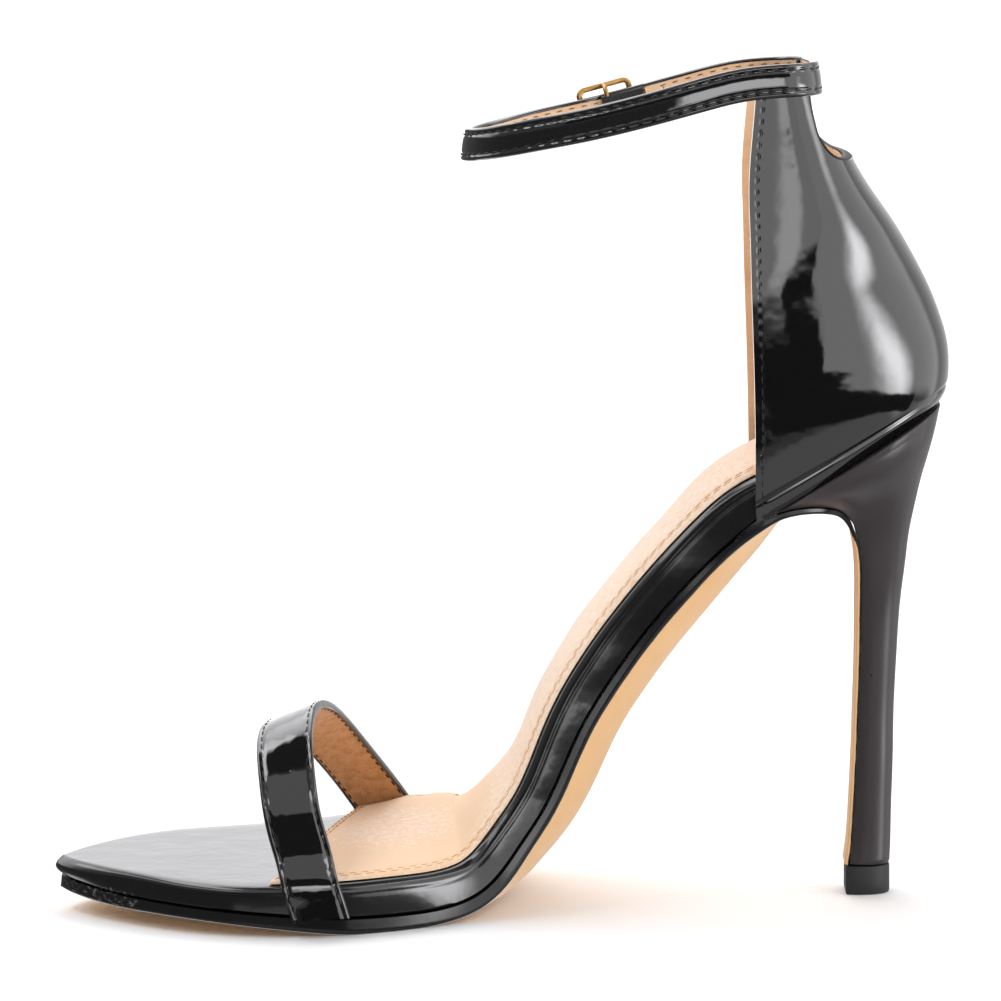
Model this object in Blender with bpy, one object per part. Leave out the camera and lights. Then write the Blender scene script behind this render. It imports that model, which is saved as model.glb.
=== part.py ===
"""A high-heeled sandal for the right foot, standing on its sole.

The toe points to -X, the heel to +X, the inner side to -Y and the buckle to +Y. Sizes are in millimetres, from the
middle of the heel, and become metres when a mesh is made. The underside of the footbed is the line that the sole,
the heel, the counter and the sock are all measured from.
"""

import math
from typing import NamedTuple

import bmesh
import bpy
import numpy as np

MM = 0.001
GAP = 0.3
MOST_EASE = 0.35
CENTRING = (-0.4, 5.7, 0.0)

SHOE_LENGTH = 212.0
SEAT_RISE = 118.6
ANKLE_HEIGHT = 200.0
BALL_WIDTH = 78.0
TOE_SHIFT = -0.4981 * SHOE_LENGTH

RAND_DEPTH = 9.4
RAND_ROUND = 2.2
RAND_BANK = 4.2
TOE_BULGE = 1.7
TOE_BULGE_END = 16.0
OUTSOLE_EDGE = 3.8
OUTSOLE_LEDGE = 0.3
WAIST_BELLY = 7.3
BELLY_POWER = 2.3
EDGE_EASE = 0.9
NOSE_LENGTH = 72.0
NOSE_POWER = 2.2
NOSE_TAPER = 0.75
TIP_START = 0.25

SOCK_INSET = 1.9
SOCK_THICK = 1.8
SOCK_CROWN = 0.9
SOCK_EDGE_SHARE = 0.55
SOCK_FRONT = 0.2406 * SHOE_LENGTH
SOCK_SKEW = 0.08 * SHOE_LENGTH

TOE_STRAP_WIDTH = 13.2
TOE_STRAP_THICK = 2.2
TOE_STRAP_SPAN = 1.0513 * BALL_WIDTH
TOE_STRAP_RISE = 45.0
STRAP_EASE = 0.65

COUNTER_WALL = 2.4
COUNTER_HALF = 0.3615 * BALL_WIDTH
COUNTER_FULLNESS = 2.3
EAR_FULLNESS = 4.0
EAR_START = 1.30
EAR_FULL = 1.80

ANKLE_STRAP_HEIGHT = 7.7
ANKLE_STRAP_THICK = 2.2
ANKLE_LOOP_LENGTH = 0.3868 * SHOE_LENGTH
ANKLE_LOOP_WIDTH = 2 * COUNTER_HALF + 6.0
ANKLE_LOOP_FRONT = TOE_SHIFT + 0.4651 * SHOE_LENGTH
ANKLE_CLIMB = 16.2
ANKLE_DROP = 1.5
ANKLE_BASE = ANKLE_HEIGHT - ANKLE_CLIMB - ANKLE_STRAP_HEIGHT / 2 + ANKLE_DROP / 2

BUCKLE_LENGTH = 14.0
BUCKLE_HEIGHT = 12.4
BUCKLE_BAR = 1.3
BUCKLE_PLACE = ANKLE_LOOP_FRONT + 0.4146 * ANKLE_LOOP_LENGTH
BAR_EASE = 0.3
BAR_CLEAR = 0.4
BAR_OUT = -0.3
PIN_RADIUS = 0.55
PRONG_RADIUS = 0.5
ELASTIC_THICK = 0.6
ELASTIC_HEIGHT = 6.2
REAR_STRAP_END = BUCKLE_PLACE + 9.0
FREE_END = BUCKLE_PLACE + 26.0
FREE_LIFT = BAR_OUT + PIN_RADIUS + ELASTIC_THICK + 3 * GAP + ANKLE_STRAP_THICK / 2
HOLE_RADIUS = 0.95
HOLE_COUNT = 4
HOLE_PITCH = 6.0

HEEL_WIDTH = 0.6 * BALL_WIDTH
HEEL_WIDEST_SHARE = 0.34
HEEL_FULLNESS = 2.2
HEEL_SPREAD = 1.4
HEEL_DROP = 0.45
TOP_LIFT_HEIGHT = 7.0


class Station(NamedTuple):
    """One row across the footbed's underside.

    along: share of SHOE_LENGTH from the toe. up: share of SEAT_RISE. centre, half: middle and half width, as
    shares of BALL_WIDTH. rand: share of RAND_DEPTH. bank: share of RAND_BANK, by which the outer edge is higher.
    sole: share of OUTSOLE_EDGE. belly: share of WAIST_BELLY.
    """

    along: float
    up: float
    centre: float
    half: float
    rand: float
    bank: float
    sole: float
    belly: float


class Breast(NamedTuple):
    """One row down the heel, from the lip under the waist to the tip.

    along, up, half: the line where heel and outsole meet. back_along, back_up: the back of the heel there.
    bulge: the widest half width, as a share of HEEL_WIDTH. sole, belly: as in Station.
    """

    along: float
    up: float
    half: float
    sole: float
    belly: float
    back_along: float
    back_up: float
    bulge: float


class Level(NamedTuple):
    """One level of the counter: its front edge, its back and its half width, as shares. Heights are as in counter_z."""

    front_along: float
    front_up: float
    back_along: float
    back_up: float
    half: float


class Bend(NamedTuple):
    """One place on the toe strap: shares of SHOE_LENGTH, TOE_STRAP_SPAN and TOE_STRAP_RISE, and its tilt."""

    along: float
    across: float
    up: float
    tilt: float


class Spot(NamedTuple):
    """A place seen from the side: along the shoe as a share of SHOE_LENGTH, and up as in counter_z."""

    along: float
    up: float


class Reach(NamedTuple):
    """A place on the prong: forward of the middle bar as a share of BUCKLE_LENGTH, outward as one of BUCKLE_BAR."""

    forward: float
    out: float


class Leg(NamedTuple):
    """A leg of the toe strap: the side it is on, and where it meets the outsole and the rand's top edge."""

    side: int
    foot: float
    top: float


class Turn(NamedTuple):
    """One place on a side of the ankle loop: shares of its length, its width and its climb."""

    along: float
    across: float
    up: float


PRONG = (
    Reach(0.136, 1.08),
    Reach(0.136, 2.30),
    Reach(0.157, 2.77),
    Reach(0.221, 3.15),
    Reach(0.321, 3.00),
    Reach(0.507, 2.77),
)

FOOTBED = (
    Station(0.000, 0.073, -0.150, 0.500, 0.45, 0.28, 0.78, 0.00),
    Station(0.059, 0.062, -0.128, 0.500, 0.57, 0.30, 0.80, 0.00),
    Station(0.116, 0.057, -0.128, 0.500, 0.60, 0.32, 0.74, 0.00),
    Station(0.206, 0.049, -0.130, 0.495, 0.64, 0.32, 0.75, 0.00),
    Station(0.276, 0.040, -0.105, 0.492, 0.78, 0.34, 0.88, 0.00),
    Station(0.330, 0.034, -0.078, 0.490, 0.88, 0.50, 1.00, 0.00),
    Station(0.387, 0.032, -0.035, 0.475, 0.92, 0.85, 1.00, 0.00),
    Station(0.432, 0.035, 0.000, 0.447, 0.91, 1.00, 0.90, 0.06),
    Station(0.472, 0.057, 0.018, 0.412, 0.87, 0.85, 0.80, 0.40),
    Station(0.518, 0.147, 0.024, 0.366, 0.80, 0.40, 0.66, 0.85),
    Station(0.542, 0.210, 0.022, 0.345, 0.79, 0.20, 0.63, 0.95),
    Station(0.586, 0.374, 0.015, 0.310, 0.85, 0.10, 0.63, 1.00),
    Station(0.618, 0.466, 0.010, 0.290, 0.90, 0.10, 0.63, 1.00),
    Station(0.658, 0.563, 0.005, 0.276, 0.91, 0.10, 0.62, 1.00),
    Station(0.700, 0.649, 0.000, 0.270, 0.94, 0.08, 0.58, 0.97),
    Station(0.743, 0.725, 0.000, 0.264, 0.98, 0.20, 0.52, 0.85),
    Station(0.785, 0.787, 0.000, 0.264, 0.98, 0.35, 0.45, 0.55),
    Station(0.829, 0.834, 0.000, 0.264, 0.86, 0.35, 0.40, 0.10),
    Station(0.897, 0.906, 0.000, 0.264, 0.74, 0.20, 0.40, 0.00),
    Station(0.989, 1.000, 0.000, 0.264, 0.66, 0.00, 0.40, 0.00),
)
WAIST_ROWS = 16

BREAST = (
    Breast(0.788, 0.783, 0.274, 0.42, 0.48, 0.991, 0.995, 0.500),
    Breast(0.805, 0.798, 0.269, 0.38, 0.22, 0.989, 0.978, 0.492),
    Breast(0.823, 0.806, 0.260, 0.37, -0.02, 0.987, 0.960, 0.478),
    Breast(0.841, 0.808, 0.243, 0.36, -0.12, 0.983, 0.930, 0.450),
    Breast(0.861, 0.804, 0.212, 0.34, -0.16, 0.976, 0.886, 0.388),
    Breast(0.878, 0.792, 0.171, 0.31, -0.15, 0.969, 0.842, 0.318),
    Breast(0.890, 0.767, 0.136, 0.28, -0.12, 0.963, 0.795, 0.257),
    Breast(0.897, 0.734, 0.112, 0.26, -0.09, 0.957, 0.744, 0.212),
    Breast(0.901, 0.689, 0.096, 0.25, -0.06, 0.953, 0.689, 0.180),
    Breast(0.902, 0.605, 0.081, 0.25, -0.04, 0.947, 0.605, 0.148),
    Breast(0.901, 0.481, 0.073, 0.25, -0.03, 0.942, 0.481, 0.133),
    Breast(0.899, 0.375, 0.068, 0.25, -0.02, 0.939, 0.375, 0.125),
    Breast(0.897, 0.278, 0.064, 0.25, -0.01, 0.938, 0.278, 0.120),
    Breast(0.894, 0.177, 0.062, 0.25, 0.00, 0.936, 0.177, 0.116),
    Breast(0.891, 0.101, 0.062, 0.25, 0.00, 0.935, 0.101, 0.115),
    Breast(0.888, 0.062, 0.063, 0.25, 0.00, 0.934, 0.062, 0.116),
)
LIP_ROW = 1

COUNTER = (
    Level(0.7825, 0.7825, 0.9895, 1.0020, 0.826),
    Level(0.7810, 0.8027, 0.9960, 1.0344, 0.848),
    Level(0.7805, 0.8432, 1.0000, 1.0786, 0.890),
    Level(0.7803, 0.9444, 0.9990, 1.1695, 0.950),
    Level(0.7795, 1.0786, 0.9910, 1.2506, 0.988),
    Level(0.7780, 1.2383, 0.9770, 1.3440, 1.002),
    Level(0.7765, 1.3857, 0.9580, 1.4410, 1.000),
    Level(0.7755, 1.5209, 0.9360, 1.5381, 0.993),
    Level(0.7745, 1.6314, 0.9105, 1.6351, 0.990),
    Level(0.7760, 1.7297, 0.8900, 1.7297, 0.997),
    Level(0.7795, 1.8280, 0.8740, 1.8354, 1.010),
    Level(0.7830, 1.9361, 0.8600, 1.9533, 1.022),
)

NOTCH = (
    Spot(0.8405, 2.2457),
    Spot(0.8405, 1.9017),
    Spot(0.8425, 1.8649),
    Spot(0.8458, 1.8280),
    Spot(0.8500, 1.7912),
    Spot(0.8545, 1.7703),
    Spot(0.8625, 1.7432),
    Spot(0.8745, 1.7236),
    Spot(0.8900, 1.7187),
    Spot(1.1000, 1.7187),
    Spot(1.1000, 2.2457),
)

TOE_STRAP = (
    Bend(0.282, -0.478, 0.400, 0.0),
    Bend(0.271, -0.450, 0.580, 3.0),
    Bend(0.263, -0.388, 0.790, 8.0),
    Bend(0.259, -0.293, 0.946, 14.0),
    Bend(0.261, -0.180, 1.024, 18.0),
    Bend(0.268, -0.055, 1.026, 20.0),
    Bend(0.279, 0.075, 0.967, 20.0),
    Bend(0.292, 0.195, 0.860, 18.0),
    Bend(0.308, 0.300, 0.722, 15.0),
    Bend(0.327, 0.402, 0.562, 10.0),
    Bend(0.346, 0.470, 0.410, 5.0),
)
NEAR_LEG = Leg(-1, 0.298, 0.288)
FAR_LEG = Leg(1, 0.388, 0.364)

ANKLE_LOOP = (
    Turn(0.000, 0.000, 0.030),
    Turn(0.026, 0.175, 0.050),
    Turn(0.098, 0.320, 0.115),
    Turn(0.200, 0.415, 0.225),
    Turn(0.330, 0.468, 0.355),
    Turn(0.497, 0.496, 0.552),
    Turn(0.650, 0.500, 0.757),
    Turn(0.782, 0.488, 0.912),
    Turn(0.878, 0.480, 0.960),
    Turn(0.940, 0.460, 0.974),
    Turn(0.975, 0.415, 0.981),
    Turn(0.994, 0.290, 0.987),
    Turn(1.000, 0.000, 0.990),
)


class Smooth:
    """A natural cubic spline through the rows of a table."""

    def __init__(self, knots, rows):
        self.knots = np.asarray(knots, float)
        self.rows = np.asarray(rows, float)
        gaps = np.diff(self.knots)
        slopes = np.diff(self.rows, axis=0) / gaps[:, None]
        matrix = np.eye(len(self.knots))
        right = np.zeros_like(self.rows)
        for i in range(1, len(self.knots) - 1):
            matrix[i, i - 1 : i + 2] = gaps[i - 1], 2 * (gaps[i - 1] + gaps[i]), gaps[i]
            right[i] = 6 * (slopes[i] - slopes[i - 1])
        self.bends = np.linalg.solve(matrix, right)

    def __call__(self, at):
        at = min(max(at, self.knots[0]), self.knots[-1])
        i = min(max(int(np.searchsorted(self.knots, at)) - 1, 0), len(self.knots) - 2)
        gap = self.knots[i + 1] - self.knots[i]
        before = (self.knots[i + 1] - at) / gap
        after = 1 - before
        bent = (before**3 - before) * self.bends[i] + (after**3 - after) * self.bends[i + 1]
        return before * self.rows[i] + after * self.rows[i + 1] + bent * gap**2 / 6


class Profile:
    """A line seen from the side, with what the rows say about it, measured by the distance along it."""

    def __init__(self, points, rows):
        points = np.asarray(points, float)
        steps = np.linalg.norm(np.diff(points, axis=0), axis=1)
        knots = np.concatenate([[0.0], np.cumsum(steps)])
        self.line = Smooth(knots, points)
        self.about = Smooth(knots, rows)
        self.length = knots[-1]
        self.knots = knots

    def frame(self, s):
        """The point at s, and the unit normal there that points to the foot."""
        here = self.line(s)
        ahead = self.line(min(s + GAP, self.length)) - self.line(max(s - GAP, 0.0))
        ahead /= np.linalg.norm(ahead)
        return here, np.array([-ahead[1], ahead[0]])

    def point(self, s, y, n):
        here, normal = self.frame(s)
        spot = here + normal * n
        return (spot[0], y, spot[1])


def side_point(along, up, rise):
    return (TOE_SHIFT + along * SHOE_LENGTH, up * rise)


def footbed_profile():
    points = [side_point(row.along, row.up, SEAT_RISE) for row in FOOTBED]
    return Profile(points, [row[2:] for row in FOOTBED])


def outsole_profile():
    """The footbed's underside as far as the waist's end, then the arch and the breast of the heel."""
    rows = [(row.along, row.up, row.centre, row.half, row.sole, row.belly) for row in FOOTBED[:WAIST_ROWS]]
    rows += [(row.along, row.up, 0.0, row.half, row.sole, row.belly) for row in BREAST]
    points = [side_point(row[0], row[1], SEAT_RISE) for row in rows]
    return Profile(points, [row[2:] for row in rows])


def nose(distance):
    """How much of its full width the toe has, this far behind its tip."""
    left = max(0.0, 1 - distance / NOSE_LENGTH)
    return (1 - left**NOSE_POWER) ** NOSE_TAPER


def round_end(share):
    """How much of its full width the heel end has, at this share of the way back."""
    share = min(max(share, 0.0), 1.0)
    return (1 - share**COUNTER_FULLNESS) ** (1 / COUNTER_FULLNESS)


FOOT_LINE = footbed_profile()
SOLE_LINE = outsole_profile()
SEAT_FRONT = FOOT_LINE.knots[WAIST_ROWS]
SEAT_LENGTH = FOOT_LINE.length - SEAT_FRONT
BOARD_END = FOOT_LINE.length - COUNTER_WALL - GAP


def footbed_row(s):
    """The footbed's middle, half width, rand depth and bank at s."""
    centre, half, rand, bank, _, _ = FOOT_LINE.about(s)
    full = half * BALL_WIDTH * nose(s) * round_end((s - SEAT_FRONT) / (BOARD_END - SEAT_FRONT))
    return centre * BALL_WIDTH, full, rand * RAND_DEPTH, bank * RAND_BANK * nose(s)


def footbed_point(s, y, n):
    """A point n above the footbed's underside, with the tip of the toe rounded and the outer side banked."""
    centre, half, rand, bank = footbed_row(s)
    rise = n / rand
    x, y, z = FOOT_LINE.point(s, centre + y, n + bank * rise * (y / half + 1) / 2)
    lean = max(0.0, 1 - s / TOE_BULGE_END)
    return (x - TOE_BULGE * math.sin(math.pi * rise) * lean, y, z)


def outsole_row(s):
    """The outsole's middle, half width, edge thickness and belly at s."""
    centre, half, sole, belly = SOLE_LINE.about(s)
    full = half * BALL_WIDTH * nose(s) + OUTSOLE_LEDGE * nose(s)
    return centre * BALL_WIDTH, full, sole * OUTSOLE_EDGE, belly * WAIST_BELLY


def spaced(start, stop, count, ease=1.0):
    """Values from start to stop, closer together near the start when ease is over 1."""
    return [start + (stop - start) * (i / (count - 1)) ** ease for i in range(count)]


def corner(radius, start, turns=3):
    """Offsets round a quarter circle that starts in this direction, for easing a corner."""
    angles = [math.radians(start + 90 * i / (turns - 1)) for i in range(turns)]
    return [(radius * math.cos(a), radius * math.sin(a)) for a in angles]


def band_section(width, thick, ease):
    """A rounded rectangle across a strap: offsets along its width and its thickness."""
    section = []
    for middle_w, middle_t, start in ((1, 1, 0), (-1, 1, 90), (-1, -1, 180), (1, -1, 270)):
        centre = (middle_w * (width / 2 - ease), middle_t * (thick / 2 - ease))
        section += [(centre[0] + a, centre[1] + b) for a, b in corner(ease, start)]
    return section


WAIST_SEARCH = spaced(0.0, SOLE_LINE.knots[WAIST_ROWS - 1], 1501)
WAIST_STATIONS = spaced(TIP_START, NOSE_LENGTH, 16, 1.7)
WAIST_STATIONS += spaced(NOSE_LENGTH, SOLE_LINE.knots[WAIST_ROWS - 1], 25)[1:]
BREAST_STATIONS = spaced(SOLE_LINE.knots[WAIST_ROWS + LIP_ROW], SOLE_LINE.length, 24)


def new_material(name, colour, roughness, metallic=0.0):
    material = bpy.data.materials.new(name)
    material.use_nodes = True
    shader = material.node_tree.nodes["Principled BSDF"]
    shader.inputs["Base Color"].default_value = (*colour, 1.0)
    shader.inputs["Roughness"].default_value = roughness
    shader.inputs["Metallic"].default_value = metallic
    material.diffuse_color = (*colour, 1.0)
    return material


def new_object(name, bm, material):
    """Makes the finished bmesh, in millimetres, an object in metres, over the middle of the shoe's length and width."""
    bmesh.ops.recalc_face_normals(bm, faces=bm.faces)
    bmesh.ops.translate(bm, vec=CENTRING, verts=bm.verts)
    bmesh.ops.scale(bm, vec=(MM, MM, MM), verts=bm.verts)
    mesh = bpy.data.meshes.new(name)
    bm.to_mesh(mesh)
    bm.free()
    mesh.materials.append(material)
    made = bpy.data.objects.new(name, mesh)
    bpy.context.scene.collection.objects.link(made)
    return made


def lofted(rings):
    """A closed body through these rings of points, capped at both ends."""
    bm = bmesh.new()
    made = [[bm.verts.new(point) for point in ring] for ring in rings]
    for lower, upper in zip(made, made[1:]):
        for i in range(len(lower)):
            j = (i + 1) % len(lower)
            bm.faces.new((lower[i], lower[j], upper[j], upper[i]))
    bm.faces.new(made[0])
    bm.faces.new(reversed(made[-1]))
    return bm


def sheet(outer, inner):
    """A closed wall between two grids of points of the same size."""
    bm = bmesh.new()
    skins = [[[bm.verts.new(point) for point in row] for row in grid] for grid in (outer, inner)]
    for skin in skins:
        for low, high in zip(skin, skin[1:]):
            for i in range(len(low) - 1):
                bm.faces.new((low[i], low[i + 1], high[i + 1], high[i]))
    rims = []
    for skin in skins:
        right, left = [row[-1] for row in skin[1:-1]], [row[0] for row in skin[-2:0:-1]]
        rims.append(skin[0] + right + skin[-1][::-1] + left)
    outside, inside = rims
    for i in range(len(outside)):
        j = (i + 1) % len(outside)
        bm.faces.new((outside[i], outside[j], inside[j], inside[i]))
    return bm


def sections(path, section, widths):
    """Rings across a band. widths gives the direction of the section's width at each point of the path."""
    path = np.asarray(path, float)
    aheads = np.gradient(path, axis=0)
    rings = []
    for point, ahead, width in zip(path, aheads, np.asarray(widths, float)):
        ahead = ahead / np.linalg.norm(ahead)
        width = width - ahead * (width @ ahead)
        width /= np.linalg.norm(width)
        thick = np.cross(ahead, width)
        rings.append([tuple(point + width * a + thick * b) for a, b in section])
    return rings


def swept(path, section, widths):
    return lofted(sections(path, section, widths))


def boolean(target, other, operation):
    """Joins the other object to the target or cuts it away, and applies the result."""
    modifier = target.modifiers.new(operation.title(), "BOOLEAN")
    modifier.operation = operation
    modifier.object = other
    graph = bpy.context.evaluated_depsgraph_get()
    result = bpy.data.meshes.new_from_object(target.evaluated_get(graph))
    target.modifiers.clear()
    target.data = result
    bpy.data.objects.remove(other)


def footbed_ring(s):
    _, half, rand, _ = footbed_row(s)
    ease = min(RAND_ROUND, 2 * MOST_EASE * half, MOST_EASE * rand)
    low = min(EDGE_EASE / 2, MOST_EASE * half)
    section = [(-half + low, 0.0), (half - low, 0.0), (half, low)]
    for a, b in corner(ease, 0, 5):
        section.append((half - ease + a, rand - ease + b))
    for share in (0.5, 0.0, -0.5):
        section.append((share * (half - ease), rand))
    for a, b in corner(ease, 90, 5):
        section.append((-half + ease + a, rand - ease + b))
    section.append((-half, low))
    return [footbed_point(s, y, n) for y, n in section]


def make_footbed(material):
    stations = WAIST_STATIONS + spaced(BOARD_END - TIP_START, FOOT_LINE.knots[WAIST_ROWS - 1], 13, 1.7)[-2::-1]
    return new_object("footbed_board", lofted([footbed_ring(s) for s in stations]), material)


def outsole_ring(s):
    centre, half, edge, belly = outsole_row(s)
    ease = min(EDGE_EASE, MOST_EASE * half, MOST_EASE * edge)
    top = [(share * half, -GAP) for share in spaced(-1.0, 1.0, 5)]
    outer, inner = [[(side * half, -GAP - edge + ease)] for side in (1, -1)]
    shares = [math.cos(math.radians(a)) for a in spaced(0.0, 180.0, 9)]
    bottom = [(share * (half - ease), -GAP - edge - belly * (1 - abs(share) ** BELLY_POWER)) for share in shares]
    ring = [SOLE_LINE.point(s, centre + y, n) for y, n in top + outer + bottom + inner]
    return [(x, y, max(z, 0.0)) for x, y, z in ring]


def make_outsole(material):
    waist_end = SOLE_LINE.knots[WAIST_ROWS - 1]
    stations = WAIST_STATIONS + spaced(waist_end, BREAST_STATIONS[0], 6)[1:] + BREAST_STATIONS[1:]
    return new_object("outsole", lofted([outsole_ring(s) for s in stations]), material)


def make_sock(material):
    shares = [math.sin(math.radians(a)) for a in spaced(-90, 90, 11)]
    end = BOARD_END - SOCK_INSET
    top, bottom = [], []
    for along in [1 - left for left in reversed(spaced(0.0, 1.0, 32, 1.25))]:
        upper, lower = [], []
        for share in shares:
            start = SOCK_FRONT + SOCK_SKEW * (share + 1) / 2
            s = start + (end - start) * along
            _, half, rand, _ = footbed_row(s)
            y = share * max(half - SOCK_INSET, GAP)
            puff = SOCK_THICK * (SOCK_EDGE_SHARE + (1 - SOCK_EDGE_SHARE) * (1 - share**4)) + SOCK_CROWN * (1 - share**2)
            upper.append(footbed_point(s, y, rand + GAP + puff))
            lower.append(footbed_point(s, y, rand + GAP))
        top.append(upper)
        bottom.append(lower)
    return new_object("sock", sheet(top, bottom), material)


def beside_rand(along, side):
    """A point beside the rand at the footbed's underside, clear of it by half the strap, with the rand's direction."""
    x = TOE_SHIFT + along * SHOE_LENGTH
    s = next(s for s in WAIST_SEARCH if FOOT_LINE.line(s)[0] >= x)
    edges = []
    for place in (s - TOE_STRAP_WIDTH / 2, s, s + TOE_STRAP_WIDTH / 2):
        centre, half, _, _ = footbed_row(place)
        edges.append(np.array([FOOT_LINE.line(place)[0], centre + side * half, 0.0]))
    along_edge = (edges[2] - edges[0]) / np.linalg.norm(edges[2] - edges[0])
    outward = np.array([-along_edge[1], along_edge[0], 0.0]) * side
    reach = max(outward @ edge for edge in edges) - outward @ edges[1]
    spot = edges[1] + outward * (reach + 2 * GAP + TOE_STRAP_THICK / 2)
    return spot + (0.0, 0.0, FOOT_LINE.line(s)[1]), along_edge, footbed_row(s)[2]


def toe_strap_leg(leg):
    """Three places of a leg, from the outsole to the top of the rand, and the rand's direction there."""
    low, along_edge, rand = beside_rand(leg.foot, leg.side)
    high, _, _ = beside_rand(leg.top, leg.side)
    low[2] += GAP
    high[2] += rand
    return [low, (low + high) / 2, high], along_edge


def make_toe_strap(material):
    """One band over the toes, its legs standing beside the rand and cut level with the outsole."""
    near, near_edge = toe_strap_leg(NEAR_LEG)
    far, far_edge = toe_strap_leg(FAR_LEG)
    middle = (near[0][1] + far[0][1]) / 2
    places, directions = list(near), [near_edge] * len(near)
    for row in TOE_STRAP:
        x = TOE_SHIFT + row.along * SHOE_LENGTH
        places.append(np.array((x, middle + row.across * TOE_STRAP_SPAN, row.up * TOE_STRAP_RISE)))
        share = row.across + 0.5
        directions.append(near_edge * (1 - share) + far_edge * share)
        directions[-1] = directions[-1] + np.array((0.0, 0.0, math.tan(math.radians(row.tilt))))
    places += far[::-1]
    directions += [far_edge] * len(far)
    steps = np.linalg.norm(np.diff(np.asarray(places), axis=0), axis=1)
    line = Smooth(np.concatenate([[0.0], np.cumsum(steps)]), np.hstack([places, directions]))
    rows = [line(s) for s in spaced(0.0, line.knots[-1], 37)]
    section = band_section(TOE_STRAP_WIDTH, TOE_STRAP_THICK, STRAP_EASE)
    rings = sections([row[:3] for row in rows], section, [row[3:] for row in rows])
    for end, beside, level in ((0, 1, near[0][2]), (-1, -2, far[0][2])):
        cut = []
        for here, other in zip(rings[end], rings[beside]):
            ahead = np.subtract(other, here)
            cut.append(tuple(here + ahead * (level - here[2]) / ahead[2]))
        rings[end] = cut
    return new_object("toe_strap", lofted(rings), material)


def counter_z(up):
    """A height on the counter: up to 1 it is a share of SEAT_RISE, and from 1 to 2 it goes on to ANKLE_HEIGHT."""
    return min(up, 1.0) * SEAT_RISE + max(up - 1.0, 0.0) * (ANKLE_HEIGHT - SEAT_RISE)


def level_fullness(up):
    """How square a level of the counter is: the ears are flatter at their sides than the heel below them."""
    share = min(max((up - EAR_START) / (EAR_FULL - EAR_START), 0.0), 1.0)
    return COUNTER_FULLNESS + (EAR_FULLNESS - COUNTER_FULLNESS) * share**2 * (3 - 2 * share)


def counter_outline(row, inset, turns=15):
    """One level of the counter from its inner front edge round the back to its outer one."""
    front = np.array((TOE_SHIFT + row[0] * SHOE_LENGTH, counter_z(row[1])))
    back = np.array((TOE_SHIFT + row[2] * SHOE_LENGTH, counter_z(row[3])))
    half = row[4] * COUNTER_HALF
    depth = np.linalg.norm(back - front)
    ahead = (back - front) / depth
    power = 2 / level_fullness(row[1])
    outline = []
    for angle in spaced(-90.0, 90.0, 2 * turns - 1):
        turn = math.radians(abs(angle))
        reach = math.cos(turn) ** power * (depth - inset)
        y = math.sin(turn) ** power * (half - inset)
        spot = front + ahead * reach
        outline.append((spot[0], math.copysign(y, angle), spot[1]))
    return outline


def make_counter(material):
    """The closed heel with its two ears, hollow, cut down at the back between the ears."""
    knots = [row.front_up + row.back_up for row in COUNTER]
    levels = Smooth(knots, COUNTER)
    rows = [levels(knot) for knot in spaced(knots[0], knots[-1], 17)]
    outer = [counter_outline(row, 0.0) for row in rows]
    inner = [counter_outline(row, COUNTER_WALL) for row in rows]
    counter = new_object("heel_upper", sheet(outer, inner), material)
    sides = [[(TOE_SHIFT + along * SHOE_LENGTH, y, counter_z(up)) for along, up in NOTCH]
             for y in (-BALL_WIDTH, BALL_WIDTH)]
    boolean(counter, new_object("notch", lofted(sides), material), "DIFFERENCE")
    return counter


def ankle_side():
    """The inner side of the ankle loop, mirrored past both ends so that the band turns smoothly there."""
    rows = np.asarray(ANKLE_LOOP)
    steps = np.linalg.norm(np.diff(rows[:, :2] * (ANKLE_LOOP_LENGTH, ANKLE_LOOP_WIDTH), axis=0), axis=1)
    mirrored = (1, -1, 1)
    rows = np.concatenate([rows[1:2] * mirrored, rows, rows[-2:-1] * mirrored])
    knots = np.concatenate([[-steps[0]], [0.0], np.cumsum(steps), [steps.sum() + steps[-1]]])
    return Smooth(knots / steps.sum(), rows)


def ankle_point(share, side, outward=0.0):
    """A point of the ankle band's middle, by its share of the way from front to back."""
    along, across, up = ANKLE_SIDE(share)
    x = ANKLE_LOOP_FRONT + along * ANKLE_LOOP_LENGTH
    y = side * (across * ANKLE_LOOP_WIDTH + outward)
    drop = ANKLE_DROP * (y / ANKLE_LOOP_WIDTH + 0.5)
    return (x, y, ANKLE_BASE + ANKLE_CLIMB * up - drop)


ANKLE_SIDE = ankle_side()


def share_at(x):
    """The share of the ankle loop's side at which it reaches x."""
    return next(share for share in spaced(0.0, 1.0, 801) if ankle_point(share, 1)[0] >= x)


def make_ankle_strap(material):
    """The band from the elastic round the back, the inner side and the front, to its free end past the buckle."""
    path = [ankle_point(share, 1) for share in spaced(share_at(REAR_STRAP_END), 1.0, 17)]
    path += [ankle_point(share, -1) for share in spaced(1.0, 0.0, 35)[1:]]
    lift = share_at(BUCKLE_PLACE - (BUCKLE_LENGTH - BUCKLE_BAR) / 2)
    full, end = share_at(BUCKLE_PLACE - GAP), share_at(FREE_END)
    for share in spaced(0.0, lift, 9)[1:] + spaced(lift, full, 7)[1:] + spaced(full, end, 8)[1:]:
        rise = min(max((share - lift) / (full - lift), 0.0), 1.0)
        path.append(ankle_point(share, 1, FREE_LIFT * (3 * rise**2 - 2 * rise**3)))
    section = band_section(ANKLE_STRAP_HEIGHT, ANKLE_STRAP_THICK, STRAP_EASE)
    return new_object("ankle_strap", swept(path, section, [(0.0, 0.0, 1.0)] * len(path)), material)


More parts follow.
